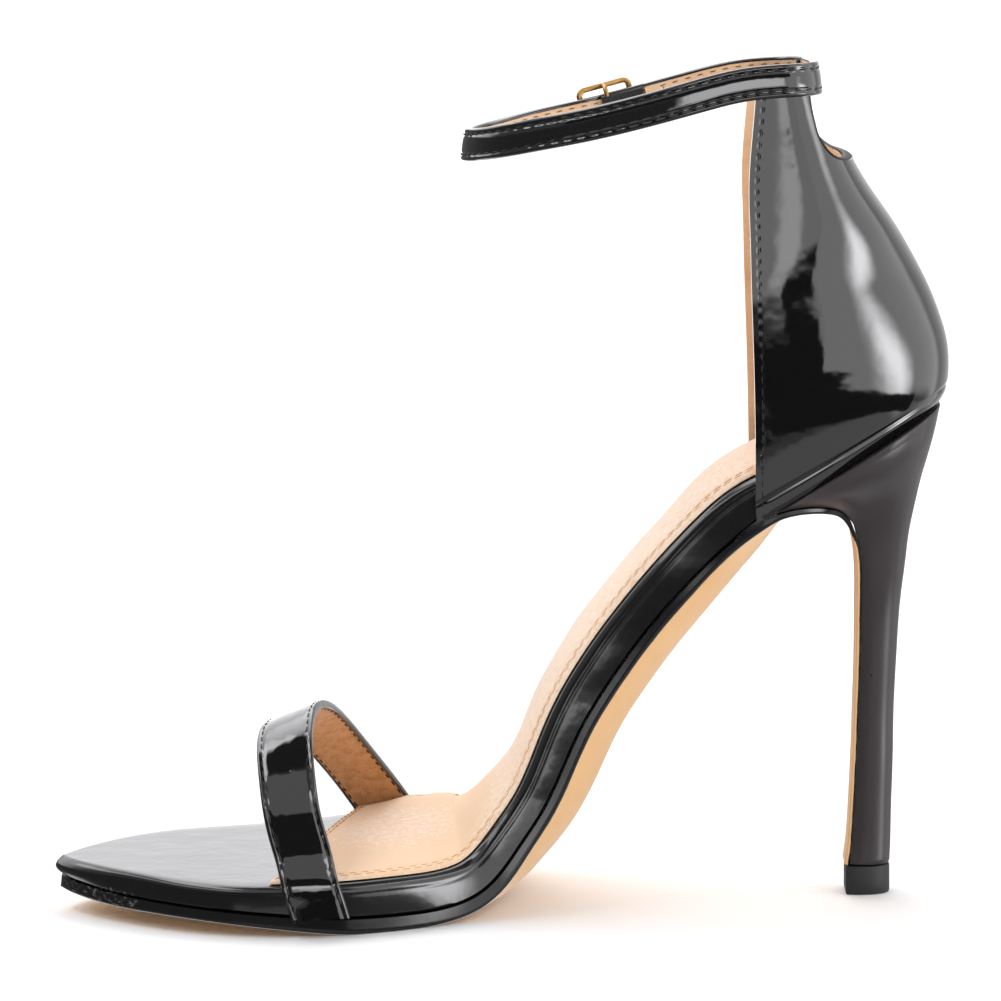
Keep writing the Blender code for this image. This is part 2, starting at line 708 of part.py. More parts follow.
def buckle_axes():
    """The middle of the strap at the buckle, and the directions along it, up and outward."""
    share = share_at(BUCKLE_PLACE)
    before, here, after = (np.array(ankle_point(share + step, 1)) for step in (-0.03, 0.0, 0.03))
    ahead = (after - before) / np.linalg.norm(after - before)
    out = np.cross((0.0, 0.0, 1.0), ahead)
    out /= np.linalg.norm(out)
    return here, ahead, np.cross(ahead, out), out


BUCKLE_AXES = buckle_axes()


def buckle_place(along, up, out):
    """A point in the buckle's own directions, measured from the middle of the strap."""
    middle, ahead, rise, away = BUCKLE_AXES
    return middle + ahead * along + rise * up + away * out


def around(middle, radius, angles):
    """Points round a circle in the plane seen from above, as distances along the strap and outward."""
    return [(middle[0] + radius * math.cos(math.radians(a)), middle[1] + radius * math.sin(math.radians(a)))
            for a in angles]


def round_section(radius, sides=8):
    return around((0.0, 0.0), radius, [360 * i / sides for i in range(sides)])


def buckle_sweep(name, path, section, material):
    """A band or wire along a path of (along, up, out), its width held upright where it can be."""
    spots = [buckle_place(*place) for place in path]
    return new_object(name, swept(spots, section, [BUCKLE_AXES[2]] * len(spots)), material)


def make_buckle_frame(material):
    """A flat rectangular ring, lifted at its rear bar, with a middle bar bent in behind the strap."""
    half, tall, bar = BUCKLE_LENGTH / 2, BUCKLE_HEIGHT / 2, BUCKLE_BAR
    columns = (-half, -half + bar, half - bar, half)
    rows = (-tall, -tall + bar, tall - bar, tall)
    front_out = ANKLE_STRAP_THICK / 2 + BAR_CLEAR + bar / 2
    rear_out = front_out + FREE_LIFT
    bm = bmesh.new()
    grid = {}
    for i, along in enumerate(columns):
        middle = front_out + (rear_out - front_out) * (along / (half - bar / 2) + 1) / 2
        for j, up in enumerate(rows):
            for k, out in enumerate((middle - bar / 2, middle + bar / 2)):
                grid[i, j, k] = bm.verts.new(buckle_place(along, up, out))
    for i in range(3):
        for j in range(3):
            if (i, j) == (1, 1):
                continue
            corners = ((i, j), (i + 1, j), (i + 1, j + 1), (i, j + 1))
            for k in (0, 1):
                bm.faces.new([grid[a, b, k] for a, b in corners])
            for side, (a, b) in enumerate(((0, -1), (1, 0), (0, 1), (-1, 0))):
                beside = (i + a, j + b)
                if beside == (1, 1) or min(beside) < 0 or max(beside) > 2:
                    (c, d), (e, f) = corners[side], corners[(side + 1) % 4]
                    bm.faces.new((grid[c, d, 0], grid[e, f, 0], grid[e, f, 1], grid[c, d, 1]))
    frame = new_object("buckle_frame", bm, material)
    soften(frame, BAR_EASE)
    rail, level = tall - bar / 2, (front_out + rear_out) / 2
    inside = rail - bar - GAP
    drop = [(rail, level), (rail, level / 2), (inside + bar / 2, BAR_OUT + bar / 4), (inside, BAR_OUT)]
    path = [(0.0, up, out) for up, out in drop + [(0.0, BAR_OUT)]]
    path += [(0.0, -up, out) for up, out in drop[::-1]]
    spots = [buckle_place(*place) for place in path]
    pin = new_object("pin", swept(spots, round_section(PIN_RADIUS), [BUCKLE_AXES[1]] * len(spots)), material)
    boolean(frame, pin, "UNION")
    return frame


def soften(made, width):
    """Rounds every sharp edge of an object."""
    modifier = made.modifiers.new("Softened edges", "BEVEL")
    modifier.width = width * MM
    modifier.segments = 2
    modifier.limit_method = "ANGLE"
    modifier.angle_limit = math.radians(50)


def make_prong(material):
    """A pin that hooks round the middle bar, comes out through the strap and rests on the front bar."""
    curl = around((0.0, BAR_OUT), PIN_RADIUS + GAP + PRONG_RADIUS, spaced(20.0, -180.0, 11))
    path = [(along, 0.0, out) for along, out in curl]
    path += [(-place.forward * BUCKLE_LENGTH, 0.0, place.out * BUCKLE_BAR) for place in PRONG]
    return buckle_sweep("buckle_prong", path, round_section(PRONG_RADIUS), material)


def make_elastic(material):
    """The band from the buckle's middle bar to the rear end of the strap, folded round the bar and slit there."""
    fold = PIN_RADIUS + GAP + ELASTIC_THICK / 2
    ply = (ELASTIC_THICK + GAP) / 2
    stop = REAR_STRAP_END - BUCKLE_PLACE - GAP
    path = [(stop, BAR_OUT - ply), (2 * fold, BAR_OUT - ply)]
    path += around((0.0, BAR_OUT), fold, spaced(-60.0, -300.0, 13))
    path += [(2 * fold, BAR_OUT + ply), (stop, BAR_OUT + ply)]
    section = band_section(ELASTIC_HEIGHT, ELASTIC_THICK, ELASTIC_THICK / 4)
    elastic = buckle_sweep("elastic", [(along, 0.0, out) for along, out in path], section, material)
    reach, tall = 2 * fold, PRONG_RADIUS + GAP
    corners = ((-reach, -reach), (reach, -reach), (reach, reach), (-reach, reach))
    rings = [[tuple(buckle_place(along, up, BAR_OUT + out)) for along, out in corners] for up in (-tall, tall)]
    boolean(elastic, new_object("slit", lofted(rings), material), "DIFFERENCE")
    return elastic


def punch_holes(strap, material):
    """Cuts the hole that the prong stands in, and spare ones towards the free end."""
    outside = FREE_LIFT + ANKLE_STRAP_THICK
    for i in range(HOLE_COUNT):
        inside = FREE_LIFT - (ANKLE_STRAP_THICK + GAP) / 2 - GAP / 2 if i else BAR_OUT
        along = i * HOLE_PITCH - PRONG[0].forward * BUCKLE_LENGTH
        rings = [[tuple(buckle_place(along + a, b, out)) for a, b in round_section(HOLE_RADIUS)]
                 for out in (inside, outside)]
        boolean(strap, new_object("punch", lofted(rings), material), "DIFFERENCE")


def heel_outline(front, back, breast, bulge):
    """A D seen along the heel: a breast of this half width, bulging sides and a round back."""
    front, back = np.asarray(front), np.asarray(back)
    ring = []
    for share in [math.sin(math.radians(a)) ** HEEL_SPREAD for a in spaced(0, 90, 11)]:
        if share < HEEL_WIDEST_SHARE:
            y = breast + (bulge - breast) * math.sin(math.radians(90 * share / HEEL_WIDEST_SHARE))
        else:
            rest = (share - HEEL_WIDEST_SHARE) / (1 - HEEL_WIDEST_SHARE)
            y = bulge * max(1 - rest**HEEL_FULLNESS, 0.0) ** (1 / HEEL_FULLNESS)
        spot = front + (back - front) * share
        ring.append((spot[0], y, spot[1]))
    return ring + [(x, -y, z) for x, y, z in ring[-2::-1]]


def seat_point(along, up):
    """The point of the straight seat's underside above this place at the side of the heel."""
    x, _ = side_point(along, up, SEAT_RISE)
    low, high = (side_point(row.along, row.up, SEAT_RISE) for row in (FOOTBED[WAIST_ROWS], FOOTBED[-1]))
    return (x, low[1] + (high[1] - low[1]) * (x - low[0]) / (high[0] - low[0]) - HEEL_DROP)


def make_heel(material):
    """The heel below the seat: its breast follows the outsole from the lip under the waist to the tip."""
    start = BREAST[0]
    backs = Smooth(SOLE_LINE.knots[WAIST_ROWS:], [(row.back_along, row.back_up, row.bulge) for row in BREAST])
    front = seat_point(BREAST[LIP_ROW].along, BREAST[LIP_ROW].up)
    back = seat_point(start.back_along, start.back_up)
    rings = [heel_outline(front, back, start.half * BALL_WIDTH, start.bulge * HEEL_WIDTH)]
    for s in BREAST_STATIONS:
        back_along, back_up, bulge = backs(s)
        breast = SOLE_LINE.about(s)[1] * BALL_WIDTH
        rings.append(heel_outline(SOLE_LINE.line(s), side_point(back_along, back_up, SEAT_RISE), breast,
                                  bulge * HEEL_WIDTH))
    return new_object("heel", lofted(rings), material)


def make_top_lift(material):
    tip = BREAST[-1]
    front = TOE_SHIFT + tip.along * SHOE_LENGTH - tip.sole * OUTSOLE_EDGE
    back = TOE_SHIFT + tip.back_along * SHOE_LENGTH
    rings = [heel_outline((front, z), (back, z), tip.half * BALL_WIDTH, tip.bulge * HEEL_WIDTH)
             for z in (0.0, TOP_LIFT_HEIGHT)]
    return new_object("top_lift", lofted(rings), material)


def clear_scene():
    for made in list(bpy.data.objects):
        bpy.data.objects.remove(made, do_unlink=True)


def main():
    clear_scene()
    patent = new_material("black patent", (0.012, 0.012, 0.014), 0.08)
    heel_cover = new_material("satin black", (0.02, 0.018, 0.017), 0.32)
    tan = new_material("tan sole", (0.80, 0.56, 0.30), 0.45)
    lining = new_material("tan lining", (0.82, 0.62, 0.42), 0.6)
    rubber = new_material("black rubber", (0.02, 0.02, 0.02), 0.6)
    webbing = new_material("black elastic", (0.03, 0.03, 0.03), 0.8)
    gold = new_material("gold metal", (0.80, 0.56, 0.28), 0.25, 1.0)
    make_outsole(tan)
    make_footbed(patent)
    make_sock(lining)
    make_heel(heel_cover)
    make_top_lift(rubber)
    make_toe_strap(patent)
    upper = make_counter(patent)
    strap = make_ankle_strap(patent)
    punch_holes(strap, patent)
    boolean(upper, strap, "UNION")
    make_elastic(webbing)
    make_buckle_frame(gold)
    make_prong(gold)


main()
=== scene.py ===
"""The looks of a black patent sandal for the right foot: tan sock, thin ankle strap and slender heel.

The toe points to -X, the heel to +X, the inner side to -Y and the buckle to +Y. Shapes are worked out in
millimetres from the middle of the heel, and become metres over the middle of the shoe when a mesh is made.
"""

import logging
import math
from dataclasses import dataclass, field
from enum import Enum
from functools import cached_property
from typing import Any, NamedTuple

import bmesh
import bpy
import numpy as np
from mathutils import Matrix, Vector


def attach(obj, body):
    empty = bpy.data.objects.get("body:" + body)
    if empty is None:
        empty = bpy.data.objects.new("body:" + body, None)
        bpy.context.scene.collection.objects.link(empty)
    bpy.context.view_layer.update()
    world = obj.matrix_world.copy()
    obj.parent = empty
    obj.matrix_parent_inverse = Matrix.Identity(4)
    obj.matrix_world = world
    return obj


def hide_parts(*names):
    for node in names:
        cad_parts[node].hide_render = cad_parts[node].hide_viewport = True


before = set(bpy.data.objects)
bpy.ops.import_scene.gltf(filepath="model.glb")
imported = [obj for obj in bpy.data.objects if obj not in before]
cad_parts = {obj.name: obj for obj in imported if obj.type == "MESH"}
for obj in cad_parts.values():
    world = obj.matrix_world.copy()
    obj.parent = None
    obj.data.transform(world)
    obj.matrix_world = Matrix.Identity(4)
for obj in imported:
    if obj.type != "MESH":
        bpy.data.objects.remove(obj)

LOG = logging.getLogger("sandal")
MM = 0.001
# The least room between two pieces.
GAP = 0.3
# The width of the rendered image.
IMAGE_PIXELS = 1001
# From the middle of the heel to the middle of the shoe's length and width.
CENTRING = np.array((-0.4, 5.7, 0.0))
# The UV map that holds places along and across a piece, and the attribute that holds wear or depth of colour,
# on the sock partly painted shade along its stitch grooves.
BAND = "band"
MARK = "mark"
# The sRGB black of every patent piece.
BLACK = "060607"


class Slot(Enum):
    """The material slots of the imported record."""

    SOLE = "sole_leather"
    RAND = "patent_rand"
    SOCK = "lining_leather"
    HEEL = "heel_cover"
    TOP_LIFT = "top_lift_rubber"
    UPPER = "patent_upper"
    ELASTIC = "elastic_webbing"
    BUCKLE = "gold_buckle"


class Station(NamedTuple):
    """One row across the footbed's underside.

    along: share of the shoe's length from the toe. up: share of the seat's rise. centre, half: middle and
    half width, as shares of the ball's width. rand, bank, sole, belly: shares of those depths.
    """

    along: float
    up: float
    centre: float
    half: float
    rand: float
    bank: float
    sole: float
    belly: float


class Breast(NamedTuple):
    """One row down the heel: where heel and outsole meet, the heel's back and its widest half width."""

    along: float
    up: float
    half: float
    sole: float
    belly: float
    back_along: float
    back_up: float
    bulge: float


class Level(NamedTuple):
    """One level of the counter: its front edge, its back and its half width, as shares."""

    front_along: float
    front_up: float
    back_along: float
    back_up: float
    half: float


class Bend(NamedTuple):
    """One place on the toe strap: shares of its length, span and rise, and its tilt in degrees."""

    along: float
    across: float
    up: float
    tilt: float


class Spot(NamedTuple):
    """A place seen from the side: along the shoe, and up as a height on the counter."""

    along: float
    up: float


class Reach(NamedTuple):
    """A place on the prong: forward of the middle bar and outward, as shares of the buckle and its bar."""

    forward: float
    out: float


class Leg(NamedTuple):
    """A leg of the toe strap: its side, and where it meets the outsole and the rand's top edge."""

    side: int
    foot: float
    top: float


class Turn(NamedTuple):
    """One place on a side of the ankle loop: shares of its length, its width and its climb."""

    along: float
    across: float
    up: float


FOOTBED = (
    Station(0.000, 0.073, -0.150, 0.500, 0.45, 0.28, 0.78, 0.00),
    Station(0.059, 0.062, -0.128, 0.500, 0.57, 0.30, 0.80, 0.00),
    Station(0.116, 0.057, -0.128, 0.500, 0.60, 0.32, 0.74, 0.00),
    Station(0.206, 0.049, -0.130, 0.495, 0.64, 0.32, 0.75, 0.00),
    Station(0.276, 0.040, -0.105, 0.492, 0.78, 0.34, 0.88, 0.00),
    Station(0.330, 0.034, -0.078, 0.490, 0.88, 0.50, 1.00, 0.00),
    Station(0.387, 0.032, -0.035, 0.475, 0.92, 0.85, 1.00, 0.00),
    Station(0.432, 0.035, 0.000, 0.447, 0.91, 1.00, 0.90, 0.06),
    Station(0.472, 0.057, 0.018, 0.412, 0.87, 0.85, 0.80, 0.40),
    Station(0.518, 0.147, 0.024, 0.366, 0.80, 0.40, 0.66, 0.85),
    Station(0.542, 0.210, 0.022, 0.345, 0.79, 0.20, 0.63, 0.95),
    Station(0.586, 0.374, 0.015, 0.310, 0.85, 0.10, 0.63, 1.00),
    Station(0.618, 0.466, 0.010, 0.290, 0.90, 0.10, 0.63, 1.00),
    Station(0.658, 0.563, 0.005, 0.276, 0.91, 0.10, 0.62, 1.00),
    Station(0.700, 0.649, 0.000, 0.270, 0.94, 0.08, 0.58, 0.97),
    Station(0.743, 0.725, 0.000, 0.264, 0.98, 0.20, 0.52, 0.85),
    Station(0.785, 0.787, 0.000, 0.264, 0.98, 0.35, 0.45, 0.55),
    Station(0.829, 0.834, 0.000, 0.264, 0.86, 0.35, 0.40, 0.10),
    Station(0.897, 0.906, 0.000, 0.264, 0.74, 0.20, 0.40, 0.00),
    Station(0.989, 1.000, 0.000, 0.264, 0.66, 0.00, 0.40, 0.00),
)
# How many rows reach from the toe to the end of the waist.
WAIST_ROWS = 16

BREAST = (
    Breast(0.788, 0.783, 0.274, 0.42, 0.48, 0.991, 0.995, 0.500),
    Breast(0.805, 0.798, 0.269, 0.38, 0.22, 0.989, 0.978, 0.492),
    Breast(0.823, 0.806, 0.260, 0.37, -0.02, 0.987, 0.960, 0.478),
    Breast(0.841, 0.808, 0.243, 0.36, -0.12, 0.983, 0.930, 0.450),
    Breast(0.861, 0.804, 0.212, 0.34, -0.16, 0.976, 0.886, 0.388),
    Breast(0.878, 0.792, 0.171, 0.31, -0.15, 0.969, 0.842, 0.318),
    Breast(0.890, 0.767, 0.136, 0.28, -0.12, 0.963, 0.795, 0.257),
    Breast(0.897, 0.734, 0.112, 0.26, -0.09, 0.957, 0.744, 0.212),
    Breast(0.901, 0.689, 0.096, 0.25, -0.06, 0.953, 0.689, 0.180),
    Breast(0.902, 0.605, 0.081, 0.25, -0.04, 0.947, 0.605, 0.148),
    Breast(0.901, 0.481, 0.073, 0.25, -0.03, 0.942, 0.481, 0.133),
    Breast(0.899, 0.375, 0.068, 0.25, -0.02, 0.939, 0.375, 0.125),
    Breast(0.897, 0.278, 0.064, 0.25, -0.01, 0.938, 0.278, 0.120),
    Breast(0.894, 0.177, 0.062, 0.25, 0.00, 0.936, 0.177, 0.116),
    Breast(0.891, 0.101, 0.062, 0.25, 0.00, 0.935, 0.101, 0.115),
    Breast(0.888, 0.062, 0.063, 0.25, 0.00, 0.934, 0.062, 0.116),
)
# The rows of the breast where the sole's lip ends, and where the ink on its edge starts to fade.
LIP_ROW = 1
INK_ROW = 6

COUNTER = (
    Level(0.7825, 0.7825, 0.9895, 1.0020, 0.826),
    Level(0.7810, 0.8027, 0.9960, 1.0344, 0.848),
    Level(0.7805, 0.8432, 1.0000, 1.0786, 0.890),
    Level(0.7803, 0.9444, 0.9990, 1.1695, 0.950),
    Level(0.7795, 1.0786, 0.9910, 1.2506, 0.988),
    Level(0.7780, 1.2383, 0.9770, 1.3440, 1.002),
    Level(0.7765, 1.3857, 0.9580, 1.4410, 1.000),
    Level(0.7755, 1.5209, 0.9360, 1.5381, 0.993),
    Level(0.7745, 1.6314, 0.9105, 1.6351, 0.990),
    Level(0.7760, 1.7297, 0.8900, 1.7297, 0.997),
    Level(0.7795, 1.8280, 0.8740, 1.8354, 1.010),
    Level(0.7830, 1.9361, 0.8600, 1.9533, 1.022),
)

NOTCH = (
    Spot(0.8405, 2.2457),
    Spot(0.8405, 1.9017),
    Spot(0.8425, 1.8649),
    Spot(0.8458, 1.8280),
    Spot(0.8500, 1.7912),
    Spot(0.8545, 1.7703),
    Spot(0.8625, 1.7432),
    Spot(0.8745, 1.7236),
    Spot(0.8900, 1.7187),
    Spot(1.1000, 1.7187),
    Spot(1.1000, 2.2457),
)

TOE_STRAP = (
    Bend(0.282, -0.478, 0.400, 0.0),
    Bend(0.271, -0.450, 0.580, 3.0),
    Bend(0.263, -0.388, 0.790, 8.0),
    Bend(0.259, -0.293, 0.946, 14.0),
    Bend(0.261, -0.180, 1.024, 18.0),
    Bend(0.268, -0.055, 1.026, 20.0),
    Bend(0.279, 0.075, 0.967, 20.0),
    Bend(0.292, 0.195, 0.860, 18.0),
    Bend(0.308, 0.300, 0.722, 15.0),
    Bend(0.327, 0.402, 0.562, 10.0),
    Bend(0.346, 0.470, 0.410, 5.0),
)
NEAR_LEG = Leg(-1, 0.298, 0.288)
FAR_LEG = Leg(1, 0.388, 0.364)

ANKLE_LOOP = (
    Turn(0.000, 0.000, 0.030),
    Turn(0.026, 0.175, 0.050),
    Turn(0.098, 0.320, 0.115),
    Turn(0.200, 0.415, 0.225),
    Turn(0.330, 0.468, 0.355),
    Turn(0.497, 0.496, 0.552),
    Turn(0.650, 0.500, 0.757),
    Turn(0.782, 0.480, 0.912),
    Turn(0.878, 0.466, 0.960),
    Turn(0.940, 0.446, 0.974),
    Turn(0.975, 0.402, 0.981),
    Turn(0.994, 0.282, 0.987),
    Turn(1.000, 0.000, 0.990),
)

PRONG = (
    Reach(0.136, 1.08),
    Reach(0.136, 2.30),
    Reach(0.157, 2.77),
    Reach(0.221, 3.15),
    Reach(0.321, 3.00),
    Reach(0.507, 2.77),
)


def spaced(start: float, stop: float, count: int, ease: float = 1.0) -> list[float]:
    """Values from start to stop, closer together near the start when ease is over 1."""
    return [start + (stop - start) * (i / (count - 1)) ** ease for i in range(count)]


def smooth_step(value: Any, low: float, high: float) -> Any:
    """0 below low, 1 above high and a smooth climb between them."""
    share = np.clip((np.asarray(value, float) - low) / (high - low), 0.0, 1.0)
    return share * share * (3 - 2 * share)


def hump(value: Any, middle: float, spread: float) -> Any:
    """A smooth bump of height 1 at the middle."""
    return np.exp(-(((np.asarray(value, float) - middle) / spread) ** 2))


def unit(vector: np.ndarray) -> np.ndarray:
    """The vector at length 1."""
    return vector / np.linalg.norm(vector)


class Smooth:
    """A natural cubic spline through the rows of a table."""

    def __init__(self, knots: Any, rows: Any) -> None:
        """Works out the spline's bends.

        Args:
            knots: where each row is.
            rows: the values there.
        """
        self.knots = np.asarray(knots, float)
        self.rows = np.asarray(rows, float)
        gaps = np.diff(self.knots)
        slopes = np.diff(self.rows, axis=0) / gaps[:, None]
        matrix = np.eye(len(self.knots))
        right = np.zeros_like(self.rows)
        for i in range(1, len(self.knots) - 1):
            matrix[i, i - 1 : i + 2] = gaps[i - 1], 2 * (gaps[i - 1] + gaps[i]), gaps[i]
            right[i] = 6 * (slopes[i] - slopes[i - 1])
        self.bends = np.linalg.solve(matrix, right)

    def __call__(self, at: float) -> np.ndarray:
        """The row at this place, held at the ends."""
        at = min(max(at, self.knots[0]), self.knots[-1])
        i = min(max(int(np.searchsorted(self.knots, at)) - 1, 0), len(self.knots) - 2)
        gap = self.knots[i + 1] - self.knots[i]
        before = (self.knots[i + 1] - at) / gap
        after = 1 - before
        bent = (before**3 - before) * self.bends[i] + (after**3 - after) * self.bends[i + 1]
        return before * self.rows[i] + after * self.rows[i + 1] + bent * gap**2 / 6


class Profile:
    """A line seen from the side, with what the rows say about it, measured by the distance along it."""

    def __init__(self, points: Any, rows: Any) -> None:
        """Lays a spline through the points and another through the rows."""
        points = np.asarray(points, float)
        knots = np.concatenate([[0.0], np.cumsum(np.linalg.norm(np.diff(points, axis=0), axis=1))])
        self.line = Smooth(knots, points)
        self.about = Smooth(knots, rows)
        self.length = float(knots[-1])
        self.knots = knots

    def frame(self, s: float) -> tuple[np.ndarray, np.ndarray]:
        """The point at s, and the unit normal there that points to the foot."""
        ahead = unit(self.line(min(s + GAP, self.length)) - self.line(max(s - GAP, 0.0)))
        return self.line(s), np.array([-ahead[1], ahead[0]])


@dataclass(frozen=True)
class Last:
    """The shape that the sole, the sock, the heel and the counter are all measured from, in millimetres."""

    length: float = 212.0
    seat_rise: float = 118.6
    ankle_height: float = 200.0
    ball_width: float = 78.0
    rand_depth: float = 9.4
    rand_bank: float = 4.2
    toe_bulge: float = 1.7
    toe_bulge_end: float = 16.0
    outsole_edge: float = 3.8
    outsole_ledge: float = 0.3
    waist_belly: float = 7.3
    nose_length: float = 72.0
    nose_power: float = 2.2
    nose_taper: float = 0.75
    counter_wall: float = 2.4
    counter_fullness: float = 2.3
    ear_fullness: float = 4.0
    ear_start: float = 1.30
    ear_full: float = 1.80

    @cached_property
    def toe_x(self) -> float:
        """Where the tip of the toe is."""
        return -0.4981 * self.length

    def side_point(self, along: float, up: float) -> tuple[float, float]:
        """A place seen from the side, from shares of the length and of the seat's rise."""
        return self.toe_x + along * self.length, up * self.seat_rise

    @cached_property
    def foot_line(self) -> Profile:
        """The footbed's underside seen from the side."""
        return Profile([self.side_point(r.along, r.up) for r in FOOTBED], [r[2:] for r in FOOTBED])

    @cached_property
    def sole_line(self) -> Profile:
        """The footbed's underside as far as the waist's end, then the arch and the breast of the heel."""
        rows = [(r.along, r.up, r.centre, r.half, r.sole, r.belly) for r in FOOTBED[:WAIST_ROWS]]
        rows += [(r.along, r.up, 0.0, r.half, r.sole, r.belly) for r in BREAST]
        return Profile([self.side_point(r[0], r[1]) for r in rows], [r[2:] for r in rows])

    @cached_property
    def board_end(self) -> float:
        """How far along its line the insole board ends, clear of the counter's wall."""
        return self.foot_line.length - self.counter_wall - GAP

    @cached_property
    def seat_front(self) -> float:
        """How far along the footbed's line the seat starts."""
        return float(self.foot_line.knots[WAIST_ROWS])

    def nose(self, distance: float) -> float:
        """How much of its full width the toe has, this far behind its tip."""
        left = max(0.0, 1 - distance / self.nose_length)
        return (1 - left**self.nose_power) ** self.nose_taper

    def footbed_row(self, s: float) -> tuple[float, float, float, float]:
        """The footbed's middle, half width, rand depth and bank at s."""
        centre, half, rand, bank, _, _ = self.foot_line.about(s)
        share = min(max((s - self.seat_front) / (self.board_end - self.seat_front), 0.0), 1.0)
        end = (1 - share**self.counter_fullness) ** (1 / self.counter_fullness)
        full = half * self.ball_width * self.nose(s) * end
        return centre * self.ball_width, full, rand * self.rand_depth, bank * self.rand_bank * self.nose(s)

    def footbed_points(self, s: float, y: np.ndarray, n: np.ndarray) -> np.ndarray:
        """Points n above the footbed's underside at s, the toe's tip rounded and the outer side banked.

        Args:
            s: distance along the footbed's line.
            y: places across, from the footbed's middle.
            n: heights above the underside.

        Returns:
            One row of three numbers for each point.
        """
        centre, half, rand, bank = self.footbed_row(s)
        here, normal = self.foot_line.frame(s)
        rise = n / rand
        lift = n + bank * rise * (y / half + 1) / 2
        lean = self.toe_bulge * np.sin(np.pi * rise) * max(0.0, 1 - s / self.toe_bulge_end)
        return np.stack([here[0] + normal[0] * lift - lean, centre + y, here[1] + normal[1] * lift], axis=-1)

    def outsole_row(self, s: float) -> tuple[float, float, float, float]:
        """The outsole's middle, half width, edge thickness and belly at s."""
        centre, half, sole, belly = self.sole_line.about(s)
        full = half * self.ball_width * self.nose(s) + self.outsole_ledge * self.nose(s)
        return centre * self.ball_width, full, sole * self.outsole_edge, belly * self.waist_belly

    def level_fullness(self, up: float) -> float:
        """How square a level of the counter is: the ears are flatter at their sides than the heel below."""
        share = float(smooth_step(up, self.ear_start, self.ear_full))
        return self.counter_fullness + (self.ear_fullness - self.counter_fullness) * share

    def counter_z(self, up: float) -> float:
        """A height on the counter: to 1 a share of the seat's rise, from 1 to 2 on to the ankle's height."""
        return min(up, 1.0) * self.seat_rise + max(up - 1.0, 0.0) * (self.ankle_height - self.seat_rise)


def corner(radius: float, start: float, turns: int) -> list[tuple[float, float]]:
    """Offsets round a quarter circle that starts in this direction, in degrees."""
    angles = [math.radians(start + 90 * i / (turns - 1)) for i in range(turns)]
    return [(radius * math.cos(a), radius * math.sin(a)) for a in angles]


class Skin:
    """A mesh in the making: points in millimetres, faces with their finish, and numbers for the materials."""

    def __init__(self) -> None:
        """Starts with nothing."""
        self.points: list[np.ndarray] = []
        self.bands: list[np.ndarray] = []
        self.marks: list[np.ndarray] = []
        self.faces: list[tuple[int, ...]] = []
        self.finishes: list[int] = []
        self.count = 0

    def add(self, points: Any, band: Any = 0.0, mark: Any = 0.0) -> np.ndarray:
        """Adds points.

        Args:
            points: an array whose last axis holds x, y and z.
            band: for each point its place along and across the piece, in millimetres.
            mark: for each point one number, such as how scuffed it is.

        Returns:
            The number of each point, in the shape of the array.
        """
        points = np.asarray(points, float)
        shape = points.shape[:-1]
        size = int(np.prod(shape))
        self.points.append(points.reshape(-1, 3))
        self.bands.append(np.broadcast_to(np.asarray(band, float), (*shape, 2)).reshape(-1, 2))
        self.marks.append(np.broadcast_to(np.asarray(mark, float), shape).reshape(-1))
        index = np.arange(self.count, self.count + size).reshape(shape)
        self.count += size
        return index

    def span(self, index: np.ndarray, closed: bool, finish: Any = 0) -> None:
        """Adds the faces between rows of points.

        Args:
            index: rows of point numbers.
            closed: whether each row is a ring.
            finish: a finish for each step round a row, or one for all.
        """
        rows, columns = index.shape
        steps = columns if closed else columns - 1
        kinds = np.broadcast_to(np.asarray(finish), (steps,))
        for low, high in zip(index, index[1:]):
            for i in range(steps):
                j = (i + 1) % columns
                self.faces.append((int(low[i]), int(low[j]), int(high[j]), int(high[i])))
                self.finishes.append(int(kinds[i]))

    def cap(self, ring: np.ndarray, finish: int = 0) -> None:
        """Closes a ring of points with a fan."""
        points = np.concatenate(self.points)[ring]
        bands = np.concatenate(self.bands)[ring]
        marks = np.concatenate(self.marks)[ring]
        middle = int(self.add(points.mean(axis=0)[None], bands.mean(axis=0)[None], marks.mean()[None])[0])
        for i in range(len(ring)):
            self.faces.append((int(ring[i]), int(ring[(i + 1) % len(ring)]), middle))
            self.finishes.append(finish)

    def loft(self, rings: Any, band: Any = 0.0, mark: Any = 0.0, finish: Any = 0, caps: int = 0) -> None:
        """A closed body through rings of points, its ends closed with the finish called caps."""
        index = self.add(rings, band, mark)
        self.span(index, True, finish)
        self.cap(index[0], caps)
        self.cap(index[-1], caps)

    def make(self, name: str, materials: list[bpy.types.Material], sharp: float = 40.0) -> bpy.types.Object:
        """Makes the finished mesh an object in metres, over the middle of the shoe.

        Args:
            name: the piece's name.
            materials: its finishes, by their numbers.
            sharp: edges that turn by more degrees than this stay sharp.

        Returns:
            The new object.
        """
        mesh = bpy.data.meshes.new(name)
        points = (np.concatenate(self.points) + CENTRING) * MM
        mesh.from_pydata(points.tolist(), [], self.faces)
        mesh.polygons.foreach_set("material_index", self.finishes)
        bm = bmesh.new()
        bm.from_mesh(mesh)
        bmesh.ops.recalc_face_normals(bm, faces=bm.faces)
        bm.to_mesh(mesh)
        bm.free()
        loops = np.empty(len(mesh.loops), np.int32)
        mesh.loops.foreach_get("vertex_index", loops)
        band = mesh.uv_layers.new(name=BAND)
        band.data.foreach_set("uv", np.concatenate(self.bands)[loops].astype(np.float32).ravel())
        mark = mesh.attributes.new(MARK, "FLOAT", "POINT")
        mark.data.foreach_set("value", np.concatenate(self.marks).astype(np.float32))
        for material in materials:
            mesh.materials.append(material)
        mesh.shade_smooth()
        mesh.set_sharp_from_angle(angle=math.radians(sharp))
        made = bpy.data.objects.new(name, mesh)
        bpy.context.scene.collection.objects.link(made)
        return made


